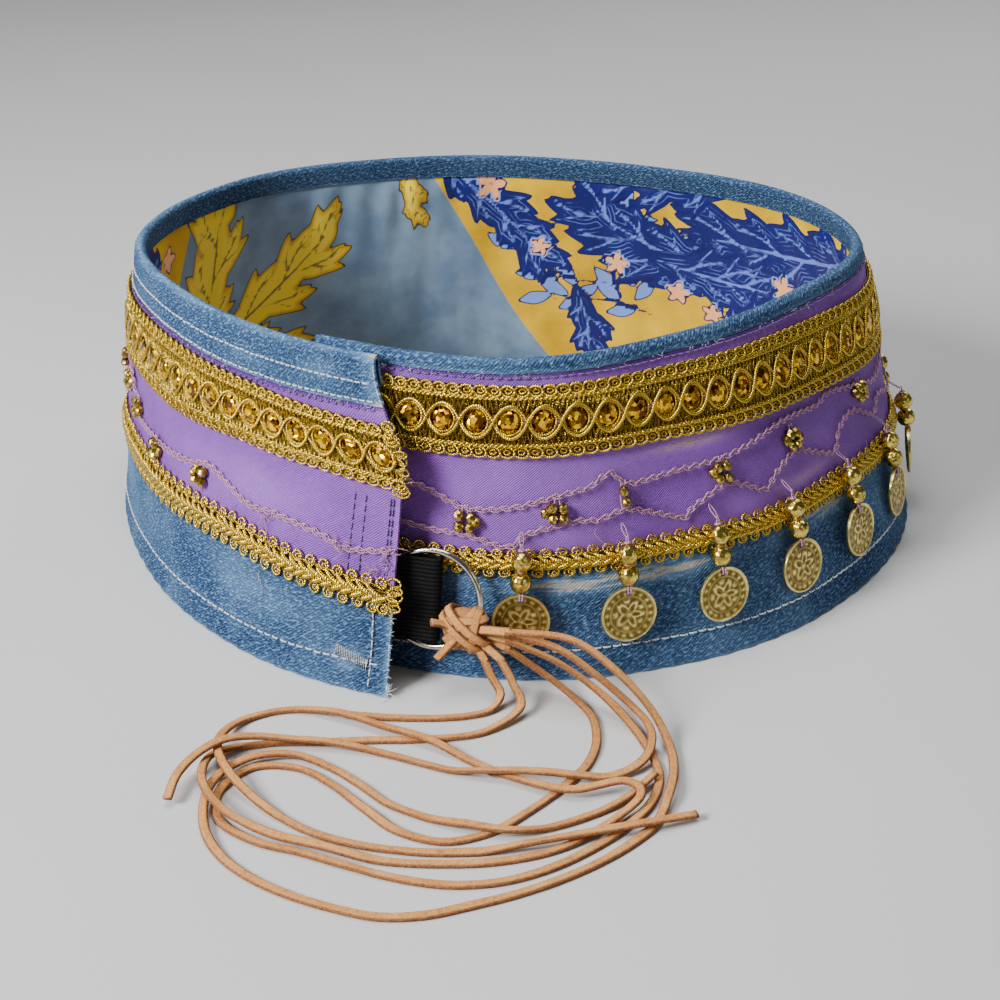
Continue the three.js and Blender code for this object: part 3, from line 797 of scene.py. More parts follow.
        # Painted shade: rib crests lighter, grooves darker; the lint flecks are real.
        share = height.ramp(-1.0, 1.4, 0.0, 0.55).plus(lint * 0.3)
        colour = share.mix((0.0008, 0.0008, 0.0009), (0.016, 0.016, 0.017))
        return g.set(Base_Color=colour, Roughness=0.85, Normal=height.bump(0.0003, 0.8), Specular_IOR_Level=0.15)

    def _suede(self, tone: SuedeTone) -> bpy.types.Material:
        """Cut suede: pale smooth face, darker rough edges, nap and small stains."""
        g = Finish("Suede")
        here = g.place()
        nap, streak = here.noise(1500.0, 5.0, 0.7), g.uv().scaled(1.0, 0.02, 1.0).noise(420.0, 4.0)
        face = nap.ramp(0.3, 0.7).mix(*tone.face)
        face = (here.noise(70.0, 4.0).ramp(0.32, 0.7) * 0.45).mix(face, tone.blotch)
        face = (streak.ramp(0.48, 0.72) * 0.5).mix(face, tone.streak)
        colour = g.value("edge").ramp(0.55, 0.95).mix(face, nap.ramp(0.3, 0.75).mix(*tone.cut_edge))
        normal = (nap + streak * 0.5).bump(0.00035, 0.7)
        return g.set(Base_Color=colour, Roughness=0.93, Normal=normal, Specular_IOR_Level=0.12)


# ---- curves and small helpers --------------------------------------------------------------------
def spline(points: Array, per_span: int = 24) -> Array:
    """Uniform cubic through the points, with straight run-in and run-out."""
    p = np.asarray(points, float)
    padded = np.concatenate([[2 * p[0] - p[1]], p, [2 * p[-1] - p[-2]]])
    a, b, c, d = (padded[k : len(p) - 1 + k, None] for k in range(4))
    t = np.linspace(0, 1, per_span, endpoint=False)[None, :, None]
    curve = 2 * b + (c - a) * t + (2 * a - 5 * b + 4 * c - d) * t**2 + (3 * b - a - 3 * c + d) * t**3
    return np.concatenate([(0.5 * curve).reshape(-1, p.shape[1]), p[-1:]])


def run_length(path: Array) -> Array:
    """Length along a path at each of its points."""
    steps = np.linalg.norm(np.diff(path, axis=0), axis=1)
    return np.concatenate([[0.0], np.cumsum(steps)])


def evenly(path: Array, count: int) -> Array:
    """The path at evenly spaced lengths."""
    run = run_length(path)
    at = np.linspace(0, run[-1], count)
    return xyz(*(np.interp(at, run, path[:, k]) for k in range(3)))


def smooth_noise(rng: np.random.Generator, at: Array, spacing: float) -> Array:
    """Slow random values from -1 to 1 along a length."""
    knots = np.arange(at.min() - spacing, at.max() + 3 * spacing, spacing)
    return np.interp(at, knots, rng.uniform(-1, 1, len(knots)))


def repeated(path: Array, places: Array) -> Array:
    """The same path at several lengths round the belt."""
    return path[None] + xyz(places, 0.0, 0.0)[:, None]


def ellipse(count: int, half: float, tall: float) -> Array:
    """Flat closed loop round the origin, in the plane of the cloth."""
    return xyz(half * np.cos(circle(count)), tall * np.sin(circle(count)), 0.0)


# ---- sub-assemblies -------------------------------------------------------------------------------
@dataclass
class Craft:
    """A sub-assembly with its sizes in millimetres, its finishes and its own random numbers."""

    finishes: Finishes
    seed: int = SEED

    def __post_init__(self) -> None:
        """Starts the random numbers."""
        self.rng = np.random.default_rng(self.seed)

    def lay(self, points: Array) -> Array:
        """Flat points onto the belt."""
        return BELT.lay(points)

    def lay_between(self, points: Array, low: str, top: str, width: float) -> Array:
        """Flat points (length, height from the middle, rise) of a braid, onto the belt between two seams."""
        turn = BELT.turn_at(points[..., 0])
        low_z, top_z = BELT.seam(turn, low), BELT.seam(turn, top)
        z = (low_z + top_z) / 2 + points[..., 1] * (top_z - low_z) / width
        return BELT.wall(turn, z, points[..., 2] + BRAID_SEAT)

    def piece(
        self,
        name: str,
        parts: Iterable[Shape],
        finish: bpy.types.Material,
        slot: Slot,
        replaces: Sequence[str] = (),
        sharp: float | None = None,
    ) -> bpy.types.Object:
        """Joins parts in the sub-assembly's own axes, lays them and makes one fixed piece.

        Args:
            name: the object's name.
            parts: the shapes.
            finish: its material.
            slot: the record's slot.
            replaces: CAD nodes it stands for.
            sharp: angle in degrees over which edges stay sharp.

        Returns:
            The new object.
        """
        return Piece.make(name, join(parts).moved(self.lay), finish, slot, "root", replaces, sharp)


# ---- laces and their knot ------------------------------------------------------------------------
LACE_POINTS = {
    "lace_1": [
        (-12.2, -154.8, 13.6), (-9.8, -158.2, 9.0), (-6.6, -162.2, 4.2), (-10.8, -167.2, 0.8),
        (-18.3, -170.0, 0.8), (-26.3, -171.1, 0.8), (-34.3, -171.3, 0.8), (-42.4, -171.1, 0.8),
        (-50.4, -170.2, 0.8), (-58.4, -169.2, 0.8),
    ],
    "lace_2": [
        (-6.8, -156.2, 14.6), (-2.6, -162.0, 9.0), (-0.2, -169.0, 3.4), (-13.4, -179.8, 0.8),
        (-30.5, -183.3, 0.8), (-48.0, -184.1, 0.8), (-65.5, -185.4, 0.8), (-83.0, -186.7, 0.8),
        (-97.8, -194.1, 2.5), (-98.8, -211.3, 5.0), (-89.8, -226.0, 4.4), (-74.8, -235.0, 2.8),
        (-58.3, -240.8, 2.8), (-41.3, -245.1, 1.0), (-23.8, -246.3, 0.8), (-6.3, -244.9, 0.8),
        (10.3, -239.5, 0.8), (24.8, -229.6, 1.7), (37.1, -217.2, 4.1), (32.6, -209.7, 4.4),
        (16.0, -212.9, 3.3), (-0.1, -206.3, 2.2), (-14.4, -196.1, 0.8), (-29.1, -186.5, 2.9),
        (-44.8, -178.7, 2.7), (-60.6, -171.0, 2.8), (-77.5, -167.1, 0.8), (-92.6, -175.0, 1.6),
        (-97.0, -191.6, 4.7), (-90.7, -207.7, 4.8), (-78.6, -220.3, 1.8), (-64.6, -230.9, 0.8),
        (-48.5, -237.7, 0.8), (-31.3, -240.8, 0.8), (-13.7, -240.8, 0.8), (3.7, -238.4, 2.8),
        (20.7, -234.4, 3.6), (37.6, -229.6, 3.6), (54.0, -223.4, 2.3),
    ],
    "lace_3": [
        (-5.0, -154.6, 23.4), (11.4, -159.5, 21.5), (24.0, -165.5, 15.5), (36.5, -173.5, 8.0),
        (42.0, -182.0, 5.6), (41.9, -190.3, 3.6), (37.8, -198.6, 2.9), (28.6, -203.4, 1.4),
        (18.2, -205.1, 3.1), (7.7, -205.3, 4.4), (-2.8, -204.5, 4.2), (-13.2, -202.9, 2.8),
        (-23.3, -199.9, 0.8), (-33.0, -196.0, 0.8), (-42.7, -191.9, 0.8), (-52.9, -189.4, 2.0),
        (-63.3, -188.0, 3.1), (-73.8, -187.5, 3.5), (-84.3, -188.6, 5.2), (-94.0, -192.6, 7.0),
        (-101.5, -199.9, 6.8), (-106.8, -208.8, 5.0), (-108.2, -219.3, 3.3),
    ],
    "lace_4": [
        (-5.0, -158.6, 26.8), (16.2, -163.6, 27.2), (31.0, -170.0, 19.5), (42.6, -177.0, 9.0),
        (48.2, -187.9, 2.4), (48.6, -200.4, 2.1), (46.2, -213.8, 3.1), (41.4, -226.4, 1.0),
        (32.7, -236.8, 0.8), (22.4, -245.7, 0.8), (11.1, -253.2, 0.8), (-1.0, -259.5, 0.8),
        (-13.6, -264.5, 0.8), (-26.5, -268.8, 0.8), (-39.9, -269.6, 0.8), (-53.0, -266.1, 0.8),
        (-65.6, -260.8, 0.8), (-77.2, -253.9, 0.8), (-87.2, -244.7, 0.8), (-94.3, -233.2, 1.6),
        (-96.8, -219.9, 2.8), (-94.7, -206.6, 2.8), (-85.5, -196.8, 2.9), (-72.4, -194.0, 2.1),
        (-60.1, -199.3, 0.8), (-49.9, -208.2, 0.8), (-40.4, -217.9, 0.8), (-28.5, -224.4, 0.8),
        (-15.9, -229.5, 2.6), (-2.7, -232.4, 2.7), (10.2, -228.4, 0.8), (22.3, -222.2, 0.8),
        (33.3, -214.3, 1.7), (42.5, -204.3, 3.4),
    ],
    "lace_5": [
        (-5.2, -151.8, 16.6), (11.7, -156.0, 5.5), (22.6, -166.8, 0.8), (25.0, -181.9, 0.8),
        (21.5, -196.6, 0.8), (12.8, -209.3, 0.8), (2.7, -220.9, 0.8), (-8.6, -231.2, 0.8),
        (-22.7, -236.0, 0.8), (-37.0, -230.8, 0.8), (-47.8, -220.0, 0.8), (-58.3, -208.8, 0.8),
        (-70.5, -199.7, 0.8), (-85.2, -199.7, 0.8), (-93.5, -212.3, 0.8), (-91.1, -226.8, 0.8),
        (-79.4, -236.5, 0.8), (-64.9, -241.6, 0.8), (-50.7, -247.5, 0.8), (-36.3, -252.7, 0.8),
        (-21.2, -255.6, 0.8), (-6.0, -254.2, 0.8), (8.1, -248.3, 0.8), (20.6, -239.5, 0.8),
        (31.7, -228.8, 0.8), (40.6, -216.3, 1.2), (44.0, -201.6, 0.8), (40.9, -186.4, 0.8),
        (36.0, -174.0, 1.8), (26.5, -163.6, 6.5), (12.5, -157.0, 14.0), (-5.0, -152.4, 19.8),
    ],
}


@dataclass
class Laces(Craft):
    """Five flat laces that run from the knot over the floor."""

    wide: float = 3.0
    thick: float = 1.5
    ease: float = 0.45
    step: float = 1.6

    def lay(self, points: Array) -> Array:
        """Laces are given where they lie."""
        return points

    def section(self) -> tuple[Array, Array]:
        """Eased flat section, counted round, and how near each point is to a side edge."""
        w, t, s = self.wide / 2, self.thick / 2, self.ease
        right = [(w, s - t), (w, t - s), (w - s, t), (0.4 * w, t), (-0.4 * w, t), (s - w, t)]
        left = [(-w, t - s), (-w, s - t), (s - w, -t), (-0.4 * w, -t), (0.4 * w, -t), (w - s, -t)]
        ring = np.array(right + left)
        return ring, np.abs(ring[:, 0]) / w

    def strip(self, path: Array, roll: Array) -> Shape:
        """A lace along a path, its flat side up, rolled a little here and there."""
        ahead = unit(np.gradient(path, axis=0))
        side = unit(xyz(ahead[:, 1], -ahead[:, 0], 0.0))
        up = np.cross(side, ahead)
        ring, edge = self.section()
        width = 1 + 0.05 * smooth_noise(self.rng, run_length(path), 9.0)
        flat = xyz(ring[None, :, 0] * width[:, None], ring[None, :, 1], 0.0)
        flat = turned(flat, 0, 1, roll[:, None])
        points = path[:, None] + side[:, None] * flat[..., 0:1] + up[:, None] * flat[..., 1:2]
        made = swept(points[None], (run_length(path) * MM)[None])
        made.values["edge"] = np.tile(edge, len(path))
        return made

    def make(self, name: str) -> None:
        """One lace."""
        path = spline(LACE_POINTS[name])
        path = evenly(path, int(run_length(path)[-1] / self.step))
        along = run_length(path)
        roll = np.radians(15) * smooth_noise(self.rng, along, 22.0)
        roll *= np.clip(along / 12, 0, 1)
        low = self.thick / 2 * np.cos(roll) + (self.wide / 2 - self.ease) * np.abs(np.sin(roll))
        path[:, 2] = np.maximum(path[:, 2], low)
        obj = self.piece(f"{name}_suede", [self.strip(path, roll)], self.finishes.suede, Slot.SUEDE, [name])

    def run(self) -> None:
        """Makes all the laces."""
        for name in LACE_POINTS:
            self.make(name)


@dataclass
class Closure(Craft):
    """O-ring held by folded webbing, with the laces tied to it."""

    # Slope, shift to the side and lift of each wrap of the knot.
    WRAPS: ClassVar = (
        (52, -1.7, 0.3), (52, 1.9, 0.5), (-38, -1.6, 1.3), (-38, 1.8, 1.5), (8, 3.9, 0.8), (84, -4.2, 0.9)
    )

    at: tuple[float, float, float] = (-30.3, -142.8, 30.0)
    yaw: float = -15.0
    tilt: float = 11.0
    ring_radius: float = 17.2
    wire: float = 1.1
    web_wide: float = 30.0
    web_thick: float = 1.2
    web_bend: float = 2.05
    web_fold: float = 0.75
    web_reach: float = 18.8
    knot_at: tuple[float, float, float] = (12.7, -1.6, -8.2)
    knot_size: tuple[float, float, float] = (9.0, 5.0, 8.6)

    def __post_init__(self) -> None:
        """Works out the ring's own axes: x along it, y through it and z up it."""
        yaw, tilt = math.radians(self.yaw), math.radians(-self.tilt)
        turn_z = [[math.cos(yaw), -math.sin(yaw), 0], [math.sin(yaw), math.cos(yaw), 0], [0, 0, 1]]
        turn_x = [[1, 0, 0], [0, math.cos(tilt), -math.sin(tilt)], [0, math.sin(tilt), math.cos(tilt)]]
        self.axes = np.array(turn_z) @ np.array(turn_x)
        self.section = Laces(self.finishes).section()

    def lay(self, points: Array) -> Array:
        """Ring axes to plan millimetres."""
        return points @ self.axes.T + np.array(self.at)

    def back(self, plan: Array) -> Array:
        """Plan millimetres to ring axes."""
        return (plan - np.array(self.at)) @ self.axes

    def ring(self) -> bpy.types.Object:
        """Welded ring of round wire."""
        line = ellipse(112, self.ring_radius, self.ring_radius)[:, [0, 2, 1]]
        wire = tubes(line[None], self.wire, up=(0, 1, 0), sides=16, closed=True)
        return self.piece("o_ring_wire", [wire], self.finishes.ring, Slot.RING, ["o_ring"])

    def webbing(self) -> bpy.types.Object:
        """Ribbed strap folded round the ring, its edges a little soft."""
        bend = np.linspace(-np.pi / 2, np.pi / 2, 15)
        run = np.linspace(-self.web_reach, self.web_fold, 14)[:-1]
        x = np.concatenate([run, self.web_fold + self.web_bend * np.cos(bend), run[::-1]])
        y = self.web_bend * np.concatenate([np.full_like(run, -1), np.sin(bend), np.full_like(run, 1)])
        line = np.stack([x, y], axis=-1)
        ahead = unit(np.gradient(line, axis=0))
        normal = np.stack([ahead[:, 1], -ahead[:, 0]], axis=-1)
        z = np.concatenate([[-1, -0.985, -0.95], np.linspace(-0.9, 0.9, 19), [0.95, 0.985, 1]])
        z = z * self.web_wide / 2
        taper = np.clip((self.web_wide / 2 - np.abs(z)) / 0.7, 0, 1)
        half = self.web_thick / 2 * (0.35 + 0.65 * np.sqrt(taper))
        v = np.broadcast_to(z * MM, (len(line), len(z)))
        u = np.broadcast_to((run_length(line) * MM)[:, None], v.shape)

        flats = [line[:, None] + sign * normal[:, None] * half[None, :, None] for sign in (1, -1)]
        shape = thick_sheet(*(xyz(flat[..., 0], flat[..., 1], z) for flat in flats), u, v)
        return self.piece("ring_strap", [shape], self.finishes.webbing, Slot.WEBBING, ["ring_webbing"])

    def wrap(self, slope: float, shift: float, lift: float) -> Shape:
        """A turn of lace round the knot, in a plane through its depth.

        Args:
            slope: direction of the wrap on the front, in degrees from the ring's x axis.
            shift: how far the wrap is moved to its own side.
            lift: distance over the knot's core.
        """
        size = np.array(self.knot_size)
        a = np.radians(np.linspace(0, 360, 34))
        run = np.array([math.cos(math.radians(slope)), 0, math.sin(math.radians(slope))])
        off = np.array([-run[2], 0, run[0]])
        way = np.cos(a)[:, None] * run + np.sin(a)[:, None] * np.array([0, -1.0, 0])
        spread = shift / float(np.linalg.norm(off * size))
        way = way * math.sqrt(max(0.05, 1 - spread**2)) + off * spread
        path = way * (size - 1.2 + lift) + np.array(self.knot_at)
        return self.band_of_lace(path, unit(way / size))

    def band_of_lace(self, path: Array, normal: Array) -> Shape:
        """Lace that lies with its flat side along a given normal."""
        ahead = unit(np.gradient(path, axis=0))
        side = unit(np.cross(ahead, normal))
        ring, edge = self.section
        top = np.cross(side, ahead)
        points = path[:, None] + side[:, None] * ring[None, :, 0:1] + top[:, None] * ring[None, :, 1:2]
        made = swept(points[None], (run_length(path) * MM)[None])
        made.values["edge"] = np.tile(edge, len(path))
        return made

    def core(self) -> Shape:
        """Rounded middle of the knot."""
        size = np.array(self.knot_size) - 1.1
        polar = np.linspace(0.06, np.pi - 0.06, 16)
        ball = sphere(polar, circle(24)) * size + np.array(self.knot_at)
        made = swept(ball[None], np.broadcast_to((polar * 8 * MM)[None], (1, 16)))
        made.values["edge"] = np.full(len(made.points), 0.8)
        return made

    def knot(self) -> bpy.types.Object:
        """Crossed wraps, the strands that leave them and two short ends."""
        parts = [
            self.core(),
            *(self.wrap(*turn) for turn in self.WRAPS),
        ]
        centre = np.array(self.knot_at)
        for name, points in LACE_POINTS.items():
            for end, inner in ((0, 1), (-1, -2)) if name == "lace_5" else ((0, 1),):
                tip, onward = (self.back(np.array(points[k])) for k in (end, inner))
                line = [centre + [0, -1.5, 0], (centre + tip) / 2, tip, tip + 0.06 * (onward - tip)]
                line = spline(np.stack(line), 8)
                parts.append(self.band_of_lace(line, np.tile([0.15, -1.0, 0.35], (len(line), 1))))
        for tip in np.array([(-4.6, -3.6, 1.6), (-3.2, -4.4, -4.2)]):
            line = spline(np.stack([centre + [0, -2.6, 0], centre + tip * 1.25, centre + tip * 2.1]), 9)
            parts.append(self.band_of_lace(line, np.tile([0.0, -0.6, 0.8], (len(line), 1))))
        return self.piece("lace_knot_wraps", parts, self.finishes.suede, Slot.SUEDE, ["lace_knot"])

    def run(self) -> None:
        """Makes the ring, the strap and the knot."""
        self.ring()
        self.webbing()
        self.knot()


# ---- cloth ---------------------------------------------------------------------------------------
@dataclass
class Cloth(Craft):
    """Denim bands, violet panel and printed lining, each a thin shell on its solid's form."""

    seed: int = SEED + 1
    shell: float = 1.3
    lining_thick: float = 1.0
    gap: float = 0.3
    turn_in: float = 10.0
    hem_fold: float = 11.0
    rows: int = 520
    lining_rows: int = 600

    def __post_init__(self) -> None:
        """Starts the random numbers and the rows round the belt."""
        super().__post_init__()
        self.turns = np.linspace(UNDER_END, FLAP_END, self.rows)

    def profile(self, z: Array, off: Array, thick: Array) -> tuple[Shape, float]:
        """Closed cloth on either side of a middle line.

        Args:
            z: (row, point) heights of the middle line.
            off: (row, point) distance out of the face.
            thick: thickness, one for each point of the line.

        Returns:
            The shape and the line's mean length in millimetres.
        """
        dz, do = np.gradient(z, axis=1), np.gradient(off, axis=1)
        size = np.hypot(dz, do) + 1e-9
        half = np.broadcast_to(thick, z.shape) / 2
        turn = self.turns[:, None]
        outer = BELT.wall(turn, z - do / size * half, off + dz / size * half)
        inner = BELT.wall(turn, z + do / size * half, off - dz / size * half)
        steps = np.hypot(np.diff(z, axis=1), np.diff(off, axis=1))
        v = np.concatenate([np.zeros((len(z), 1)), np.cumsum(steps, axis=1)], axis=1)
        u = np.broadcast_to(BELT.arc(self.turns)[:, None], v.shape)
        return thick_sheet(outer, inner, u * MM, v * MM), float(v[:, -1].mean())

    @staticmethod
    def tapered(count: int, thick: float, ends: int = 2) -> Array:
        """Thickness across a band, eased to its two edges."""
        near = np.minimum(np.arange(count), np.arange(count)[::-1]) / ends
        return thick * (0.45 + 0.55 * np.clip(near, 0, 1))

    def wear(self, z: Array, base: Array) -> Array:
        """Wear attribute for both faces of a band."""
        rough = 0.12 * self.rng.random(z.shape)
        return np.tile(np.clip(base + rough - 0.06, 0, 1).reshape(-1), 2)

    def spot(self, z: Array, arc: float, height: float, wide: float, tall: float) -> Array:
        """A soft round patch at a length round the belt and a height."""
        return bell(BELT.arc(self.turns)[:, None] - arc, wide) * bell(z - height, tall)

    def seams(self, *names: str) -> Array:
        """Mean height of some seams, one for each row."""
        return np.mean([BELT.seam(self.turns, name) for name in names], axis=0)[:, None]

    def part(
        self,
        names: tuple[str, str],
        made: tuple[Shape, float],
        finish: bpy.types.Material,
        slot: Slot,
        held: str,
    ) -> None:
        """Makes a cloth piece and stands it for its solid.

        Args:
            names: the object's name and the CAD node's.
            made: the shape and the length of its middle line across, in millimetres.
            finish: its material.
            slot: the record's slot.
            held: how the cloth is held; not used.
        """
        shape, across = made
        obj = Piece.make(names[0], shape, finish, slot, replaces=[names[1]])
        n = len(self.turns)
        m = len(shape.points) // (2 * n)
        middle = (shape.points[: n * m] + shape.points[n * m :]).reshape(n, m, 3) / 2

    def top_band(self) -> None:
        """Denim folded over the top edge."""
        low = self.seams("band")
        middle_back = -self.shell - self.lining_thick - 0.7 - self.gap - self.shell / 2 + 0.1
        radius = (-self.shell / 2 - middle_back) / 2
        top = HEIGHT - self.shell / 2 - radius
        bend = np.linspace(0, np.pi, 13)[None, 1:-1]
        share = np.linspace(0, 1, 9)[None]
        down = np.linspace(0, 1, 7)[None]
        rise, fall = top + radius * np.sin(bend) + 0 * low, top + (HEIGHT - self.turn_in - top) * down + 0 * low
        z = np.concatenate([low + (top - low) * share, rise, fall], axis=1)
        face = -self.shell / 2
        bent = face - radius + radius * np.cos(bend)
        off = np.concatenate([face + 0 * share, bent, middle_back + 0 * down], axis=1)
        off = np.broadcast_to(off, z.shape).copy()
        arc = BELT.arc(self.turns)[:, None]
        pucker = 0.16 * np.sin(arc * 2 * np.pi / 7.3 + 2 * np.sin(arc / 31)) + 0.1 * np.sin(arc / 2.1)
        off[:, 1:9] += pucker * np.clip((z[:, 1:9] - low) / 3, 0, 1)
        shape, across = self.profile(z, off, self.tapered(z.shape[1], self.shell))
        # Pale along the fold's crest, strongest round the back left: fold wear together with a painted highlight
        # on the top edge.
        crest_wear_and_highlight = 0.45 * bell(np.arange(z.shape[1])[None] - 13, 3.2)
        crest_wear_and_highlight = crest_wear_and_highlight * (0.35 + 0.65 * BELT.smooth(self.turns[:, None], (200.0, 300.0)))
        flap = 0.5 * bell(arc - LENGTH, 5)
        edge = 0.5 * bell(z - low, 1.2) * (np.arange(z.shape[1]) < 9)
        patch = 0.4 * self.spot(z, LENGTH - 26, 103, 9, 3) + 0.3 * self.spot(z, LENGTH - 70, 99, 14, 3)
        shape.values["wear"] = self.wear(z, crest_wear_and_highlight + flap + edge + patch)
        names = ("denim_binding", "denim_top_band")
        self.part(names, (shape, across), self.finishes.denim, Slot.DENIM, "folded")

    def purple(self) -> None:
        """Violet twill panel between the gimp and the top band."""
        low = self.seams("gimp_top", "gimp_low") + self.gap / 2
        top = self.seams("band") - self.gap
        z = low + (top - low) * np.linspace(0, 1, 40)[None]
        arc = BELT.arc(self.turns)[:, None]
        ripple = 0.22 * np.sin(arc / 5.1 + z / 9) * np.sin(arc / 23 + 1)
        pull = 0.25 * np.sin(arc / 3.7) * bell(z - low - 8, 5)
        shape, across = self.profile(z, -self.shell / 2 + ripple + pull, self.tapered(40, self.shell))
        wear = 0.25 * bell(arc - LENGTH, 2) + 0.25 * self.spot(z, LENGTH - 60, 58, 30, 8)
        wear = wear + 0.9 * self.spot(z, BELT.arc_at(27), 74.5, 24, 2.2)
        wear = wear + 0.7 * self.spot(z, BELT.arc_at(50), 49.5, 22, 2.6)
        shape.values["wear"] = self.wear(z, wear)
        names = ("violet_panel", "purple_panel")
        self.part(names, (shape, across), self.finishes.purple, Slot.TWILL, "stretched")

    def hem(self) -> None:
        """Denim band down to the floor, folded up inside its hem."""
        top = self.seams("gimp_top", "gimp_low") - self.gap / 2
        share = np.concatenate([[0, 0.012, 0.03], np.linspace(0.06, 1, 30)])[None]
        z = 0.35 + (top - 0.35) * share
        arc = BELT.arc(self.turns)[:, None]
        fold_edge = 1 / (1 + np.exp((z - self.hem_fold) / 0.7))
        rope = 0.22 * np.sin(arc * 2 * np.pi / 8.7 + z * 0.55 + np.sin(arc / 17)) * bell(z, 9)
        furrow = -0.35 * bell(z - self.hem_fold + 1.1, 0.9)
        off = -self.shell / 2 + 0.35 * fold_edge + rope + furrow
        shape, across = self.profile(z, off, self.tapered(z.shape[1], self.shell))
        hem = 0.4 * bell(z, 1.3) + 0.16 * bell(z - self.hem_fold, 1.4) + 0.55 * bell(arc - LENGTH, 1.6)
        worn = 1.2 * self.spot(z, BELT.arc_at(8), 33.6, 27, 3.2)
        worn = worn + 1.0 * self.spot(z, BELT.arc_at(23), 34, 20, 2.8)
        worn = worn + 0.9 * self.spot(z, BELT.arc_at(52), 34.5, 24, 3.0)
        worn = worn + 0.8 * self.spot(z, LENGTH - 14, 11, 5, 4) + 0.3 * self.spot(z, LENGTH - 45, 22, 22, 7)
        sides = sum(0.35 * self.spot(z, a, 24, 26, 8) for a in (250.0, 430.0, 610.0, 760.0))
        shape.values["wear"] = self.wear(z, hem + worn + sides)
        names = ("denim_skirt", "denim_hem_band")
        self.part(names, (shape, across), self.finishes.denim_worn, Slot.DENIM, "stretched")

    def lining(self) -> None:
        """Printed satin inside, eased into the binding in soft creases."""
        self.turns = np.linspace(UNDER_END + 0.6, FLAP_END - 0.8, self.lining_rows)
        z = np.broadcast_to(np.linspace(0.8, HEIGHT - self.shell - 0.5, 78)[None], (self.lining_rows, 78))
        arc = BELT.arc(self.turns)[:, None]
        wander = 1.6 * np.sin(arc / 47) + 0.9 * np.sin(arc / 19 + 2)
        gather = np.sin(arc / 2.6 + wander) + 0.7 * np.sin(arc / 4.3 - wander) + 0.5 * np.sin(arc / 8.1 + 1)
        near_top = bell(z - 92, 17)
        slack = np.sin(arc / 15 + z / 38 + wander * 0.6) + 0.6 * np.sin(arc / 27 - z / 21)
        inward = 0.35 + 0.42 * (gather + 1.6) * near_top
        inward = inward + 0.45 * (slack + 1.4) * np.sin(np.pi * z / HEIGHT) ** 0.5
        inward = inward * np.clip((HEIGHT - self.turn_in - 0.4 - z) / 5, 0, 1) ** 0.6 * np.clip(z / 6, 0.15, 1)
        off = -self.shell - 0.7 - self.lining_thick / 2 - inward
        shape, across = self.profile(z, off, self.tapered(78, self.lining_thick))
        shape.values.update(LeafPrint(arc + 0 * z, z + 0 * arc).values())
        names = ("satin_lining", "printed_lining")
        self.part(names, (shape, across), self.finishes.lining, Slot.LINING, "gathered")

    def run(self) -> None:
        """Makes every cloth piece."""
        self.top_band()
        self.purple()
        self.hem()
        self.lining()


@dataclass(frozen=True)
class Leaf:
    """One lobed leaf of the print.

    Attributes:
        turn: turn of its foot, in degrees.
        z: height of its foot.
        aim: direction of its spine in degrees, 0 along the belt and 90 up.
        long: length of the spine.
        wide: reach of its longest lobes.
        curl: how far the spine turns towards the tip, in degrees.
        pairs: lobes on each side.
        tone: 0 for the leaf colours, 1 for the small peach ones.
    """

    turn: float
    z: float
    aim: float
    long: float
    wide: float
    curl: float = 40.0
    pairs: int = 4
    tone: float = 0.0


GOLD_LEAVES = (
    Leaf(246, 30, 104, 100, 30, -30, 3), Leaf(243, 30, 160, 92, 28, -40, 3), Leaf(241, 26, 186, 66, 20, 30, 3),
    Leaf(206, 106, 244, 34, 10, 26, 2),
)
BLUE_LEAVES = (
    Leaf(199, 108, 212, 84, 21, 24, 4), Leaf(98, 92, 340, 118, 34, 30, 4), Leaf(131, 60, 2, 96, 30, 44, 4),
    Leaf(130, 106, 346, 78, 17, 26, 3), Leaf(112, 30, 20, 62, 20, 30, 3),
    Leaf(150, 64, 196, 70, 24, -26, 4), Leaf(142, 26, 165, 58, 20, -30, 3), Leaf(168, 44, 250, 40, 15, 30, 2),
    Leaf(263, 40, 72, 66, 20, 30, 3), Leaf(277, 30, 96, 72, 20, -30, 3),
)
# Turn in degrees, height and size.
BUDS = (
    (187, 96, 8.0), (146, 48, 6.5), (122, 62, 7.5), (104, 50, 6.0), (258, 88, 7.0), (159, 60, 6.5), (139, 40, 6.0),
    (176, 66, 5.5),
)
STEMS = (
    Leaf(124, 46, 4, 66, 0, 40), Leaf(148, 58, 330, 56, 0, 50), Leaf(104, 44, 64, 58, 0, -50),
    Leaf(172, 50, 20, 40, 0, 60), Leaf(166, 98, 230, 44, 0, -50), Leaf(158, 40, 70, 46, 0, 50),
    Leaf(152, 34, 24, 50, 0, -40),
)


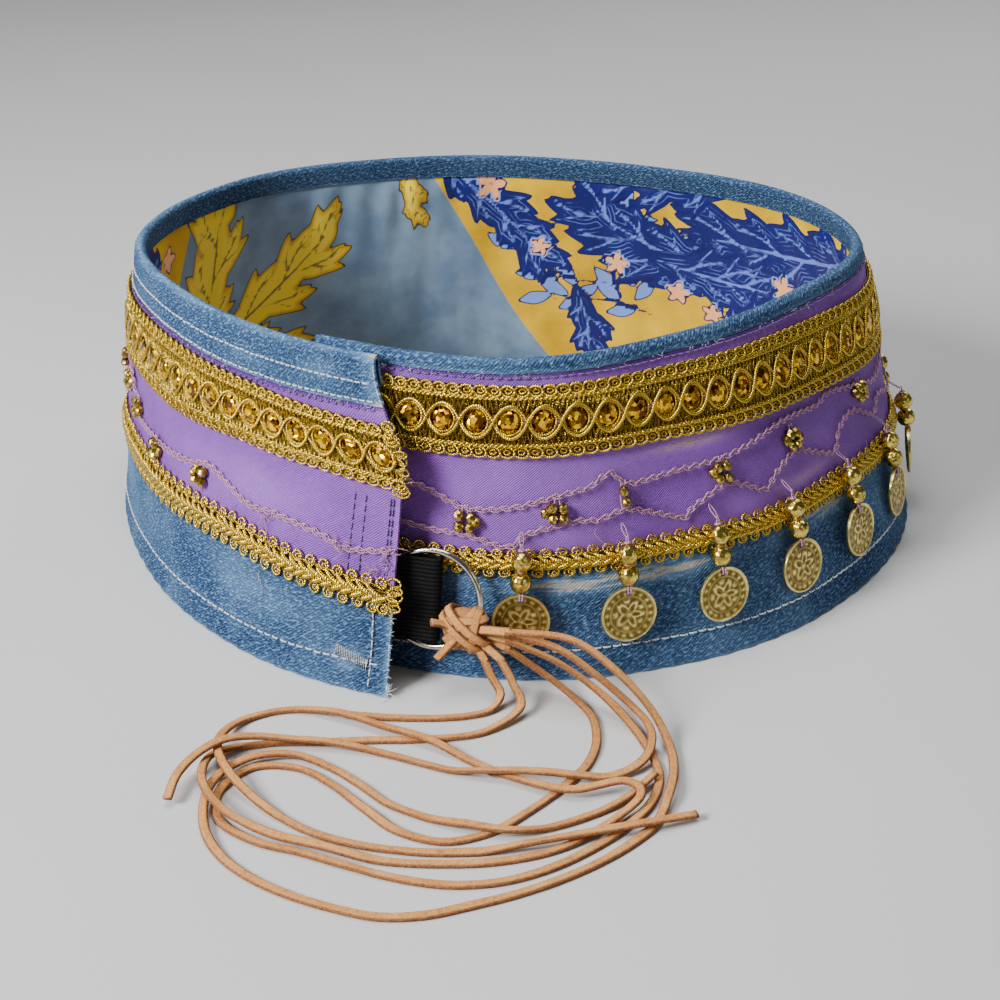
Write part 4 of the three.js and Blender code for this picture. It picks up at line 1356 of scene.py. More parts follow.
class LeafPrint:
    """Distances to the edges and veins of leaves laid out over the lining, the last ones on top."""

    FAR = 9.0

    def __init__(self, x: Array, y: Array) -> None:
        """Starts an empty print at flat places, length round and height."""
        self.x, self.y = x.ravel(), y.ravel()
        self.leaf = np.full(self.x.shape, -self.FAR)
        self.vein = np.full(self.x.shape, self.FAR)
        self.gap = np.full(self.x.shape, self.FAR)
        self.tone = np.zeros(self.x.shape)
        self.clear()

    def clear(self) -> None:
        """Starts a leaf of its own."""
        self.best = np.full(self.x.shape, -self.FAR)
        self.second = np.full(self.x.shape, -self.FAR)
        self.near = np.full(self.x.shape, self.FAR)

    def settle(self, tone: float) -> None:
        """Puts the leaf over those before it."""
        over = self.best > -0.6
        edge = np.where(self.leaf > 0, np.maximum(self.best, -0.1), self.best)
        self.leaf = np.where(over, edge, np.maximum(self.leaf, self.best))
        self.vein = np.where(over, self.near, self.vein)
        self.gap = np.where(over, self.best - self.second, self.gap)
        self.tone = np.where(over, tone, self.tone)
        self.clear()

    @staticmethod
    def spine(
        at: Sequence[float], aim: float, long: float, curl: float, count: int
    ) -> tuple[Array, Array, Array]:
        """Points of a curved line, and its direction in degrees at each."""
        angle = aim + curl * np.linspace(0, 1, count)
        step = long / (count - 1) * np.exp(1j * np.radians(angle[:-1]))
        line = complex(*at) + np.concatenate([[0], np.cumsum(step)])
        return line.real, line.imag, angle

    def lobe(
        self, at: Sequence[float], aim: float, long: float, wide: float, curl: float, plump: float = 0.2
    ) -> None:
        """Adds one curved lobe with a pointed tip to the leaf, widest at the share plump of its length."""
        count = int(long / 0.9) + 4
        sx, sy, _ = self.spine(at, aim, long, curl, count)
        reach = wide + 4
        here = (self.x > sx.min() - reach) & (self.x < sx.max() + reach)
        here &= (self.y > sy.min() - reach) & (self.y < sy.max() + reach)
        near = np.flatnonzero(here)
        if near.size == 0:
            return
        away = np.hypot(self.x[near, None] - sx, self.y[near, None] - sy)
        share = np.linspace(0, 1, count)
        rise, fall = np.clip(share / plump, 0, 1), np.clip((1 - share) / (1 - plump), 0, 1)
        half = wide * (0.4 + 0.6 * np.sin(np.pi / 2 * rise)) * fall**0.85
        inside = (half - away).max(axis=1)
        self.second[near] = np.maximum(self.second[near], np.minimum(self.best[near], inside))
        self.best[near] = np.maximum(self.best[near], inside)
        stroke = away - 0.05 * half
        self.near[near] = np.minimum(self.near[near], stroke[:, : -count // 6].min(axis=1))

    def acanthus(self, leaf: Leaf) -> None:
        """Adds a leaf: a broad body, and flame-like lobes on both sides with a tooth each."""
        at = (BELT.arc_at(leaf.turn), leaf.z)
        count = 2 * leaf.pairs + 2
        sx, sy, angle = self.spine(at, leaf.aim, leaf.long, leaf.curl, count + 1)
        self.lobe(at, leaf.aim, leaf.long, 0.3 * leaf.wide + 1.5, leaf.curl, 0.45)
        for k in range(1, count - 1):
            share = k / count
            side = 1 if k % 2 else -1
            reach = leaf.wide * (0.45 + 0.7 * math.sin(math.pi * (0.12 + 0.74 * share)))
            reach *= 0.88 + 0.24 * ((k * 7) % 5) / 4
            aim = angle[k] + side * (40 - 14 * share)
            foot = (sx[k], sy[k])
            self.lobe(foot, aim, reach, 0.22 * reach + 1.0, -side * 14, 0.35)
            tx, ty, spun = self.spine(foot, aim, reach, -side * 14, 5)
            self.lobe((tx[1], ty[1]), spun[1] + side * 30, 0.62 * reach, 0.14 * reach + 0.6, -side * 14, 0.3)
            self.lobe((tx[2], ty[2]), spun[2] - side * 22, 0.44 * reach, 0.11 * reach + 0.5, side * 8, 0.3)
        self.settle(leaf.tone)

    def bud(self, turn: float, z: float, size: float, petals: int) -> None:
        """Adds a small open flower."""
        at = (BELT.arc_at(turn), z)
        for k in range(petals):
            self.lobe(at, 360 / petals * k + 20, size, size * 0.26, 30, 0.6)
        self.settle(1.0)

    def stem(self, leaf: Leaf) -> None:
        """Adds a thin stem with small plain leaves on either side."""
        at = (BELT.arc_at(leaf.turn), leaf.z)
        sx, sy, angle = self.spine(at, leaf.aim, leaf.long, leaf.curl, 7)
        for k, side in ((1, -1), (2, 1), (4, -1), (5, 1), (6, 0)):
            self.lobe((sx[k], sy[k]), angle[k] + side * 44, 15.0, 3.4, -side * 24, 0.5)
            self.settle(0.35)
        self.lobe(at, leaf.aim, leaf.long, 0.6, leaf.curl)
        self.settle(-1.0)

    def values(self) -> dict[str, Array]:
        """Draws the layout, repeats it on the front, and returns the attributes for both faces."""
        for shift in (0.0, -182.0, 216.0):
            for leaf in STEMS:
                self.stem(self.shifted(leaf, shift))
            for leaf in GOLD_LEAVES + BLUE_LEAVES:
                self.acanthus(self.shifted(leaf, shift))
            for turn, z, size in BUDS:
                self.bud(turn + shift, z, size, 5)
        edges = [BELT.arc_at(t) for t in (12, 201, 254)]
        lean = (self.y - 105) * 0.62 + 1.5 * np.sin(self.y / 17)
        side = np.minimum(edges[1] + lean - self.x, self.x - edges[0])
        side = np.maximum(side, self.x - edges[2] + 0.2 * self.y - 12)
        made = {"leaf": self.leaf, "vein": self.vein, "gap": self.gap, "tone": self.tone, "side": side}
        return {key: np.tile(value, 2) for key, value in made.items()}

    @staticmethod
    def shifted(leaf: Leaf, shift: float) -> Leaf:
        """The same leaf further round the belt."""
        return replace(leaf, turn=leaf.turn + shift)


# ---- braids --------------------------------------------------------------------------------------
@dataclass
class Braid(Craft):
    """Gold galloon: looped edges, twisted cords, hatch threads, and stones ringed by wavy cords."""

    seed: int = SEED + 3
    width: float = 24.6
    stone_count: int = 80
    stone: float = 4.1
    loop_pitch: float = 4.8
    loop_mid: float = 10.25
    cord_line: float = 7.95
    hatch_rows: tuple[float, float] = (2.6, 7.4)
    hatch_pitch: float = 1.9
    cord: float = 0.5

    def lay(self, points: Array) -> Array:
        """Flat braid points onto the belt."""
        return self.lay_between(points, "braid_low", "braid_top", self.width)

    def phase(self, pitch: float, per: int) -> Array:
        """Phase of a wave along the braid, with so many points to each pitch."""
        count = int(round(LENGTH / pitch))
        return np.linspace(0, 2 * np.pi * count, count * per + 1)

    def line(self, phase: Array, height: Array, rise: Array) -> Array:
        """One long path through heights and rises at the phases of a wave."""
        return xyz(phase / phase[-1] * (LENGTH - 0.6) + 0.3, height, rise)[None]

    def ground(self) -> bpy.types.Object:
        """Woven ribbon under the cords, its edges drawn in between the loops."""
        arc = np.linspace(0, LENGTH, 1100)[:, None]
        share = np.linspace(-1, 1, 15)[None]
        scallop = 11.3 + 0.55 * np.abs(np.sin(np.pi * arc / self.loop_pitch))
        y = share * scallop
        rise = 0.62 + 0.18 * np.cos(share * 9) + 0.05 * np.sin(arc * 2.3)
        rise = np.where(np.abs(share) > 0.95, 0.45, rise)
        u, v = np.broadcast_arrays(arc * MM, y * MM)
        shape = thick_sheet(xyz(arc, y, rise), xyz(arc, y, 0.0), u, v)
        return self.piece("braid_ribbon", [shape], self.finishes.ground, Slot.BRAID, ["jewelled_braid"])

    def cords(self) -> bpy.types.Object:
        """Twisted edge cords and the two cords that weave round the stones."""
        parts = []
        for y in (self.cord_line, -self.cord_line):
            for start in (0.0, np.pi):
                a = self.phase(3.4, 8)
                path = self.line(a, y + 0.42 * np.sin(a + start), 1.25 + 0.35 * np.cos(a + start))
                parts.append(tubes(path, self.cord * 0.85))
        a = self.phase(2 * LENGTH / self.stone_count, 24)
        swing = 5.45 * np.sign(np.sin(a)) * np.abs(np.sin(a)) ** 0.75
        for sign in (1, -1):
            path = self.line(a, sign * swing, 1.75 + sign * 0.4 * np.cos(a))
            parts.append(tubes(path, self.cord * 1.25))
        return self.piece("braid_cords", parts, self.finishes.gold, Slot.BRAID)

    def loops(self) -> bpy.types.Object:
        """Overlapping arches along the top edge and closed loops along the lower edge."""
        places = np.arange(self.loop_pitch / 2 + 1, LENGTH - 2, self.loop_pitch)
        arch = ellipse(14, 2.35, 1.8) + np.array([0, self.loop_mid, 1.25])
        arch[:, 2] += 0.45 * np.cos(circle(14))
        eye = ellipse(14, 2.5, 1.85) + np.array([0, -self.loop_mid - 0.1, 1.15])
        eye[:, 2] += 0.4 * np.cos(circle(14))
        seat = ellipse(8, 1.15, 0.8) + np.array([0, -self.loop_mid - 0.1, 0.95])
        upper_seat = seat + np.array([0.2, 2 * self.loop_mid + 0.1, 0.2])
        loops = ((arch, 0.95, 6), (eye, 0.9, 6), (seat, 0.6, 4), (upper_seat, 0.7, 4))
        parts = [tubes(repeated(loop, places), self.cord * k, sides=n, closed=True) for loop, k, n in loops]
        return self.piece("braid_loops", parts, self.finishes.gold, Slot.BRAID)

    def hatch(self) -> bpy.types.Object:
        """Fine zig-zag threads over the fields between the cords."""
        parts = []
        low, high = self.hatch_rows
        for sign, lean in ((1, 0.0), (-1, 0.7)):
            for shift in (0.0, 0.5):
                count = int(LENGTH / self.hatch_pitch)
                a = np.arange(2 * count)
                x = (a + shift) * self.hatch_pitch / 2 + lean * (a % 2) * 0.4
                x = x + self.rng.uniform(-0.4, 0.4, len(a))
                x = np.clip(x, 0.4, LENGTH - 0.4)
                y = sign * (np.where(a % 2 == 0, low - 0.3, high) + 0.25 * self.rng.random(len(a)))
                off = 1.05 + 0.25 * self.rng.random(len(a)) + 0.15 * shift
                parts.append(tubes(xyz(x, y, off)[None], 0.34, sides=4))
        return self.piece("braid_hatch", parts, self.finishes.gold, Slot.BRAID)

    def places(self) -> Array:
        """Lengths of the stones' middles."""
        return (np.arange(self.stone_count) + 0.5) * LENGTH / self.stone_count

    def stones(self) -> bpy.types.Object:
        """Round stones cut in facets to a small flat table."""
        facets = ((0.98, 0.7, 0.0), (1.0, 1.0, 0.5), (0.78, 1.9, 0.0), (0.44, 2.35, 0.5), (0.02, 2.4, 0.0))
        share, rise, twist = (column[:, None] for column in np.array(facets).T)
        a = circle(10) + twist * np.pi / 5
        one = xyz(share * self.stone * np.cos(a), share * self.stone * np.sin(a), rise)
        places = self.places()
        tilt = self.rng.uniform(-0.07, 0.07, (len(places), 2))
        many = np.repeat(one[None], len(places), axis=0)
        many[..., 2] += many[..., 0] * tilt[:, None, None, 0] + many[..., 1] * tilt[:, None, None, 1]
        many[..., 0] += places[:, None, None]
        shape = swept(many, np.zeros(many.shape[:2]))
        return self.piece("braid_stones", [shape], self.finishes.stone, Slot.BRAID, sharp=8)

    def bezels(self) -> bpy.types.Object:
        """Cord ring round each stone."""
        ring = ellipse(20, self.stone + 0.35, self.stone + 0.4) + np.array([0, 0, 1.35])
        shape = tubes(repeated(ring, self.places()), self.cord * 0.8, closed=True)
        return self.piece("braid_bezels", [shape], self.finishes.gold, Slot.BRAID)

    def bars(self) -> bpy.types.Object:
        """Dark wrapped bars between the stones."""
        places = self.places()
        gaps = (places[1:] + places[:-1]) / 2
        parts = []
        for dx in (-0.62, 0.62):
            line = xyz(dx, [-2.1, -1.4, 0, 1.4, 2.1], [0.8, 1.35, 1.5, 1.35, 0.8])
            parts.append(tubes(repeated(line, gaps), 0.5))
        return self.piece("braid_bars", parts, self.finishes.bar, Slot.BRAID)

    def run(self) -> None:
        """Makes the whole braid."""
        self.ground()
        self.cords()
        self.loops()
        self.hatch()
        self.stones()
        self.bezels()
        self.bars()


@dataclass
class Gimp(Craft):
    """Plaited gold cord with small double curls along both edges."""

    seed: int = SEED + 4
    width: float = 9.0
    plait_pitch: float = 3.7
    strand: float = 0.8
    picot_pitch: float = 5.3

    def lay(self, points: Array) -> Array:
        """Flat gimp points onto the belt."""
        return self.lay_between(points, "gimp_low", "gimp_top", self.width)

    def plait(self) -> bpy.types.Object:
        """Herringbone of short slanted cords that meet along the middle."""
        places = np.arange(1.2, LENGTH - 6.8, self.plait_pitch)
        leg = np.array([
            [6.0, -0.35, 0.5], [4.7, 0.1, 1.4], [2.6, 0.95, 1.85], [0.6, 1.9, 1.35], [-0.5, 2.7, 0.6]
        ])
        line = spline(leg, 2)
        width = self.strand * np.array([0.6, 0.85, 1.0, 1.1, 1.15, 1.1, 1.0, 0.8, 0.5])
        parts = []
        for sign, shift in ((1, 0.0), (-1, self.plait_pitch / 2)):
            many = repeated(line * np.array([1, sign, 1]), places + shift)
            many[..., 2] += self.rng.uniform(-0.12, 0.12, (len(places), 1))
            many[..., 1] *= self.rng.uniform(0.92, 1.06, (len(places), 1))
            parts.append(tubes(many, width[None], flat=0.8))
        return self.piece("gimp_plait", parts, self.finishes.gold, Slot.BRAID, ["gimp_braid"])

    def picots(self) -> bpy.types.Object:
        """Double curls, upper and lower in turn."""
        places = np.arange(3.5, LENGTH - 3.5, self.picot_pitch)
        parts = []
        for sign, shift in ((1, 0.0), (-1, self.picot_pitch / 2)):
            for dx, wide, thread in ((0.0, 1.75, 0.4), (1.0, 0.75, 0.28)):
                curl = ellipse(12, wide, 0.9 * wide) + np.array([dx * 0.3, sign * 3.55, 0.9 + 0.2 * dx])
                many = repeated(curl, np.minimum(places + shift, LENGTH - 3))
                many[..., 1] += sign * self.rng.uniform(-0.2, 0.35, (len(places), 1))
                parts.append(tubes(many, thread, closed=True))
            sway = np.linspace(0, 2 * np.pi * len(places), 12 * len(places))
            edge = xyz(2 + sway / sway[-1] * (LENGTH - 4), sign * (2.5 + 0.35 * np.cos(sway)), 0.7)
            parts.append(tubes(edge[None], 0.26, sides=5))
        return self.piece("gimp_curls", parts, self.finishes.gold, Slot.BRAID)

    def shade_strip(self) -> bpy.types.Object:
        """Thin dark strip under the plait, between the curls: a sheet of painted shade for the gaps between the
        strands.
        """
        arc = np.linspace(0.4, LENGTH - 0.4, 900)[:, None]
        y = np.linspace(-3.0, 3.0, 5)[None]
        u, v = np.broadcast_arrays(arc * MM, y * MM)
        shape = thick_sheet(xyz(arc, y, 0.45), xyz(arc, y, 0.02), u, v)
        return self.piece("gimp_shade_strip", [shape], self.finishes.ground, Slot.BRAID)

    def run(self) -> None:
        """Makes the gimp."""
        self.plait()
        self.picots()
        self.shade_strip()


# ---- chain net and coin drops --------------------------------------------------------------------
# Turn in degrees and height as a share of the wall.
UPPER_CHAIN = (
    (-33, 0.56), (-24, 0.62), (-15, 0.604), (-8, 0.551), (-1, 0.559), (3, 0.581), (8, 0.602), (10, 0.611),
    (13, 0.642), (16, 0.599), (23, 0.607), (31, 0.611), (37, 0.625), (45, 0.652), (50, 0.654), (56, 0.645),
    (60, 0.662), (68, 0.635), (76, 0.60), (84, 0.655),
)
LOWER_CHAIN = (
    (-33, 0.47), (-24, 0.50), (-14, 0.473), (-8, 0.466), (-2, 0.436), (1, 0.477), (7, 0.508), (11, 0.505),
    (15, 0.524), (18, 0.508), (21, 0.485), (25, 0.460), (26, 0.481), (32, 0.531), (36, 0.511), (40, 0.475),
    (43, 0.513), (48, 0.545), (53, 0.51), (58, 0.475), (61, 0.538), (66, 0.56), (72, 0.50), (76, 0.54),
)
FLAP_CHAIN = (
    (287, 0.477), (299, 0.486), (307, 0.505), (312, 0.527), (320, 0.470), (326, 0.475), (333, 0.458),
    (337, 0.433), (343.4, 0.449),
)
CLUSTERS = (
    (-8, 0.511), (5, 0.541), (32, 0.574), (48, 0.589), (69, 0.608), (280, 0.552), (286, 0.505), (296, 0.453),
    (310, 0.484),
)
PALE_PAIR = (15, 0.567)
FRAYED = ((324, 0.452), (336, 0.436), (343, 0.445), (343.2, 0.40), (341.5, 0.384), (254, 0.40))


@dataclass
class Net(Craft):
    """Mauve chain with bead clusters between its strands."""

    seed: int = SEED + 5
    link: float = 2.15
    long: float = 1.75
    half: float = 0.66
    thread: float = 0.22
    off: float = 1.15
    bead: float = 1.8

    @staticmethod
    def hidden_side(shift: float, high: float, swing: float) -> list[tuple[float, float]]:
        """The net goes on round the back in the same uneven zig-zag."""
        turns = np.arange(87.0, 288.0, COIN_PITCH / 2)
        k = np.arange(len(turns))
        wave = high + swing * np.where((k + shift) % 2 == 0, 1, -1) + 0.012 * np.sin(k * 2.4 + shift)
        return [(float(a), float(b)) for a, b in zip(turns, wave)]

    def all_round(self) -> tuple[list, list]:
        """Both strands' places, with the hidden side."""
        upper = list(UPPER_CHAIN) + self.hidden_side(0, 0.60, 0.045)
        return upper, list(LOWER_CHAIN) + self.hidden_side(1, 0.505, 0.04)

    def strand(self, rows: Sequence[tuple[float, float]]) -> Array:
        """Flat points of a strand at the pitch of its links."""
        table = np.array(rows)
        line = spline(xyz(BELT.arc(table[:, 0]), table[:, 1] * HEIGHT, self.off), 12)
        return evenly(line, int(run_length(line)[-1] / self.link))

    def chain(self, line: Array) -> Shape:
        """Crochet links along a strand, tipped one way and the other."""
        ahead = unit(np.gradient(line, axis=0))
        side = np.cross([0, 0, 1.0], ahead)
        a = circle(9)
        drop = 1 - 0.35 * np.cos(a)
        lean = np.where(np.arange(len(line)) % 2 == 0, 0.38, -0.38) + self.rng.normal(0, 0.09, len(line))
        link = xyz(self.long * np.cos(a), self.half * np.sin(a) * drop, 0 * lean[:, None])
        link = turned(link, 0, 1, lean[:, None])
        rise = 0.32 * np.sin(a)[None] * np.sign(lean)[:, None] + 0.12 * self.rng.random((len(line), 1))
        loops = line[:, None] + link[..., 0:1] * ahead[:, None] + link[..., 1:2] * side[:, None]
        loops[..., 2] += rise
        return tubes(loops, self.thread, sides=5, closed=True)

    def chains(self) -> bpy.types.Object:
        """Both strands all round, and the one that is left on the flap."""
        upper, lower = self.all_round()
        parts = [self.chain(self.strand(rows)) for rows in (upper, lower + [(288, 0.48)], FLAP_CHAIN)]
        return self.piece("net_chain", parts, self.finishes.mauve, Slot.BRAID)

    def core(self) -> bpy.types.Object:
        """Thin thread through the middle of each strand, and ties at the clusters."""
        parts = [tubes(self.strand(rows)[None], 0.16, sides=5) for rows in (*self.all_round(), FLAP_CHAIN)]
        for turn, share in CLUSTERS + (PALE_PAIR,):
            x, z = BELT.arc_at(turn), share * HEIGHT
            for dx in (-0.7, 0.7):
                tie = np.array([[x + dx, z - 5.2, 1.2], [x + dx * 1.6, z, 1.0], [x + dx, z + 5.2, 1.2]])
                parts.append(tubes(spline(tie, 5)[None], 0.3, sides=5))
        return self.piece("net_threads", parts, self.finishes.mauve, Slot.BRAID)

    def beads_at(self, centres: Array, radius: float) -> Shape:
        """Small faceted beads."""
        ball = sphere(np.linspace(0.25, np.pi - 0.25, 5), circle(8)) * radius
        spin = self.rng.uniform(0, 1, len(centres))
        many = turned(np.repeat(ball[None], len(centres), axis=0), 0, 2, spin[:, None, None])
        return swept(many + centres[:, None, None], np.zeros((len(centres), 5)))

    def clusters(self) -> bpy.types.Object:
        """Beads two by two between the strands, with a few more here and there."""
        hidden = [(float(t), 0.555) for t in np.arange(98.0, 284.0, 2 * COIN_PITCH)]
        spots = []
        for turn, share in list(CLUSTERS) + hidden:
            x, z = BELT.arc_at(turn), share * HEIGHT
            for dx, dz in ((-1.9, -1.8), (1.8, -1.9), (-1.75, 1.85), (1.9, 1.75)):
                spots.append((x + dx + self.rng.normal(0, 0.12), z + dz + self.rng.normal(0, 0.12), 2.0))
            for dx, dz in ((-3.9, 0.1), (3.9, -0.1)):
                if self.rng.random() < 0.6:
                    spots.append((x + dx, z + dz, 1.5))
        x, z = BELT.arc_at(PALE_PAIR[0]), PALE_PAIR[1] * HEIGHT
        spots += [(x - 0.3, z + 1.9, 2.0), (x + 0.5, z - 1.8, 2.0)]
        shape = self.beads_at(np.array(spots), self.bead)
        return self.piece("net_beads", [shape], self.finishes.old_bead, Slot.BEAD, sharp=5)

    def run(self) -> None:
        """Makes the net."""
        self.chains()
        self.core()
        self.clusters()


@dataclass
class Drops(Craft):
    """Stamped coins under two faceted beads, each on its own body."""

    seed: int = SEED + 6
    centre: float = 24.0
    top: float = 51.0
    stand_off: float = 5.7
    radius: float = 10.0
    thick: float = 1.2
    lean: float = 7.0
    hole: float = 1.1
    hole_up: float = 7.9
    bead_radius: float = 3.75
    bead_low: float = 14.1
    bead_high: float = 21.4

    def axes(self, turn: float) -> tuple[Array, Array, float]:
        """Columns x along the belt, y up and z out of it, the origin and the thread's length."""
        at = np.array(turn)
        points = []
        for z in (self.centre, self.top):
            high = np.array(z)
            points.append(BELT.plan_point(at, high) + self.stand_off * BELT.outward(at, high))
        low, top = points
        up = unit(top - low)
        along = unit(np.cross(up, BELT.outward(at, np.array(self.centre))))
        return np.stack([along, up, np.cross(along, up)], axis=1), low, float(np.linalg.norm(top - low))

    def relief(self, x: Array, y: Array) -> Array:
        """Height of the stamp: rim, ring of blocks and a five-petalled flower, in millimetres."""
        r, a = np.hypot(x, y), np.arctan2(y, x)
        rim = 0.42 * bell(np.clip(9.5 - r, 0, None), 0.5)
        blocks = 0.28 * bell(r - 7.9, 0.65) * np.clip(0.2 + np.cos(18 * a + 0.6 * np.sin(3 * a)) * 2.0, 0, 1)
        inner = 0.14 * bell(r - 6.6, 0.3)
        flower = bell(r - 3.4 - 1.45 * np.cos(5 * a + 0.9 * np.sin(a)), 0.75)
        sepal = bell(r - 4.9, 0.8) * np.clip(-np.cos(5 * a + 0.7 * np.sin(a)) * 1.6 - 0.4, 0, 1)
        centre = 0.36 * np.maximum(np.maximum(flower, sepal), bell(r, 1.1)) * (r < 6.3)
        return rim + blocks + inner + centre

    def coin(self, number: int, axes: Array, origin: Array) -> bpy.types.Object:
        """One coin with its hole, stamped on both faces."""
        rings = np.concatenate([[0.0, 0.02], np.linspace(0.06, 0.985, 33), [1.0]])
        a = circle(72)
        radius = (self.hole + (self.radius - self.hole) * rings)[:, None]
        x = radius * np.cos(a)
        y = radius * np.sin(a) + (self.hole_up * (1 - rings))[:, None]
        stamp = turned(xyz(x, y, 0.0), 0, 1, self.rng.uniform(-0.35, 0.35))
        height = self.relief(stamp[..., 0], stamp[..., 1])
        dish = 0.12 * np.sin(x / 4 + number) * np.cos(y / 5 + number)
        z = -0.16 + height * (1 - 0.5 * (rings > 0.99)[:, None]) + self.thick / 2 - 0.25
        section = np.concatenate([xyz(x, y, z + dish), xyz(x, y, dish - z)[::-1]])
        quads, row, column = lattice(len(section) + 1, len(a), True)
        size = len(section) * len(a)
        value = np.concatenate([height, height[::-1]]).reshape(-1) - 0.12
        lean = math.radians(self.lean)
        points = turned(section.reshape(-1, 3), 1, 2, lean) - [0, 0, self.radius * math.sin(lean)]
        uv = np.stack([column / len(a), row / (len(section) + 1)], axis=-1)
        shape = Shape(points @ axes.T + origin, quads % size, uv, {"relief": value})
        node = f"coin_{number:02d}"
        body = f"drop_{number:02d}"
        return Piece.make(f"stamped_{node}", shape, self.finishes.coin, Slot.COIN, body, [node], 50)

    def bead(self, centre: Array, tilt: float) -> Shape:
        """A bead cut in rows of facets, with a drilled end above and below."""
        polar = np.array([0.18, 0.30, 0.72, 1.12, 1.5708, 2.02, 2.42, 2.84, 2.96])
        offset = np.where(np.arange(len(polar)) % 2 == 0, 0, np.pi / 12)[:, None]
        ball = sphere(polar, circle(12) + offset)[..., [0, 2, 1]] * self.bead_radius
        return swept((turned(ball, 0, 1, tilt) + centre)[None], np.zeros((1, len(polar))))

    def beads(self, number: int, axes: Array, origin: Array) -> bpy.types.Object:
        """Two beads over the coin."""
        parts = []
        for height in (self.bead_low, self.bead_high):
            shift = self.rng.uniform(-0.35, 0.35)
            parts.append(self.bead(np.array([shift, height, 0.0]), self.rng.uniform(-0.3, 0.3)))
        shape = join(parts).moved(lambda p: p @ axes.T + origin)
        node = f"beads_{number:02d}"
        return Piece.make(f"cut_{node}", shape, self.finishes.bead, Slot.BEAD, f"drop_{number:02d}", [node], 50)

    def thread(self, number: int, axes: Array, origin: Array, length: float) -> bpy.types.Object:
        """Thread loop through the coin's hole and up through the beads."""
        lean = math.radians(self.lean)
        down = self.radius * math.sin(lean)
        hole = np.array([0, self.hole_up * math.cos(lean), self.hole_up * math.sin(lean) - down])
        parts = []
        for dx in (-0.55, 0.55):
            front = hole + np.array([dx * 0.8, 0.2, 1.1])
            over = hole + np.array([dx, 2.2, 1.0])
            line = np.stack(
                [
                    hole + [dx * 0.5, 0.0, -0.8], hole + [dx * 0.6, -0.4, 0.2], front, over,
                    [dx * 0.6, self.bead_low - self.bead_radius - 0.2, 0.2], [dx * 0.5, self.bead_low, 0.0],
                    [dx * 0.5, self.bead_high, 0.0],
                    [dx * 0.8, self.bead_high + self.bead_radius + 0.6, 0.1],
                    [dx * 0.3, length, 0.0],
                ]
            )
            parts.append(tubes(spline(line, 4)[None], 0.3, sides=5))
        for height in ((self.bead_low + self.bead_high) / 2, self.bead_high + self.bead_radius + 0.25):
            ring = ellipse(10, 1.0, 1.0)[:, [0, 2, 1]] + np.array([0, height, 0])
            parts.append(tubes(ring[None], 0.35, up=(0, 1, 0), sides=5, closed=True))
        shape = join(parts).moved(lambda p: p @ axes.T + origin)
        body = f"drop_{number:02d}"
        return Piece.make(f"drop_thread_{number:02d}", shape, self.finishes.mauve, Slot.BEAD, body)

    def hangers(self) -> bpy.types.Object:
        """Thread loops on the net that the drops hang from."""
        parts = []
        for k in range(COIN_COUNT):
            arc = BELT.arc_at(COIN_PITCH * k)
            out = self.stand_off
            loop = [(0.4, 2.0, 1.5), (0.75, 0.9, 3.0), (0.35, -0.7, out), (-0.35, -0.7, out)]
            loop += [(-0.75, 0.9, 3.0), (-0.4, 2.0, 1.5), (0.0, 2.5, 1.2)]
            line = np.array(loop) + np.array([arc, self.top, 0.0])
            parts.append(tubes(line[None], 0.2, sides=5, closed=True))
        return self.piece("drop_hangers", parts, self.finishes.mauve, Slot.BRAID)

    def run(self) -> None:
        """Makes every drop and what holds it."""
        for k in range(COIN_COUNT):
            axes, origin, length = self.axes(COIN_PITCH * k)
            self.coin(k + 1, axes, origin)
            self.beads(k + 1, axes, origin)
            self.thread(k + 1, axes, origin, length)
        self.hangers()


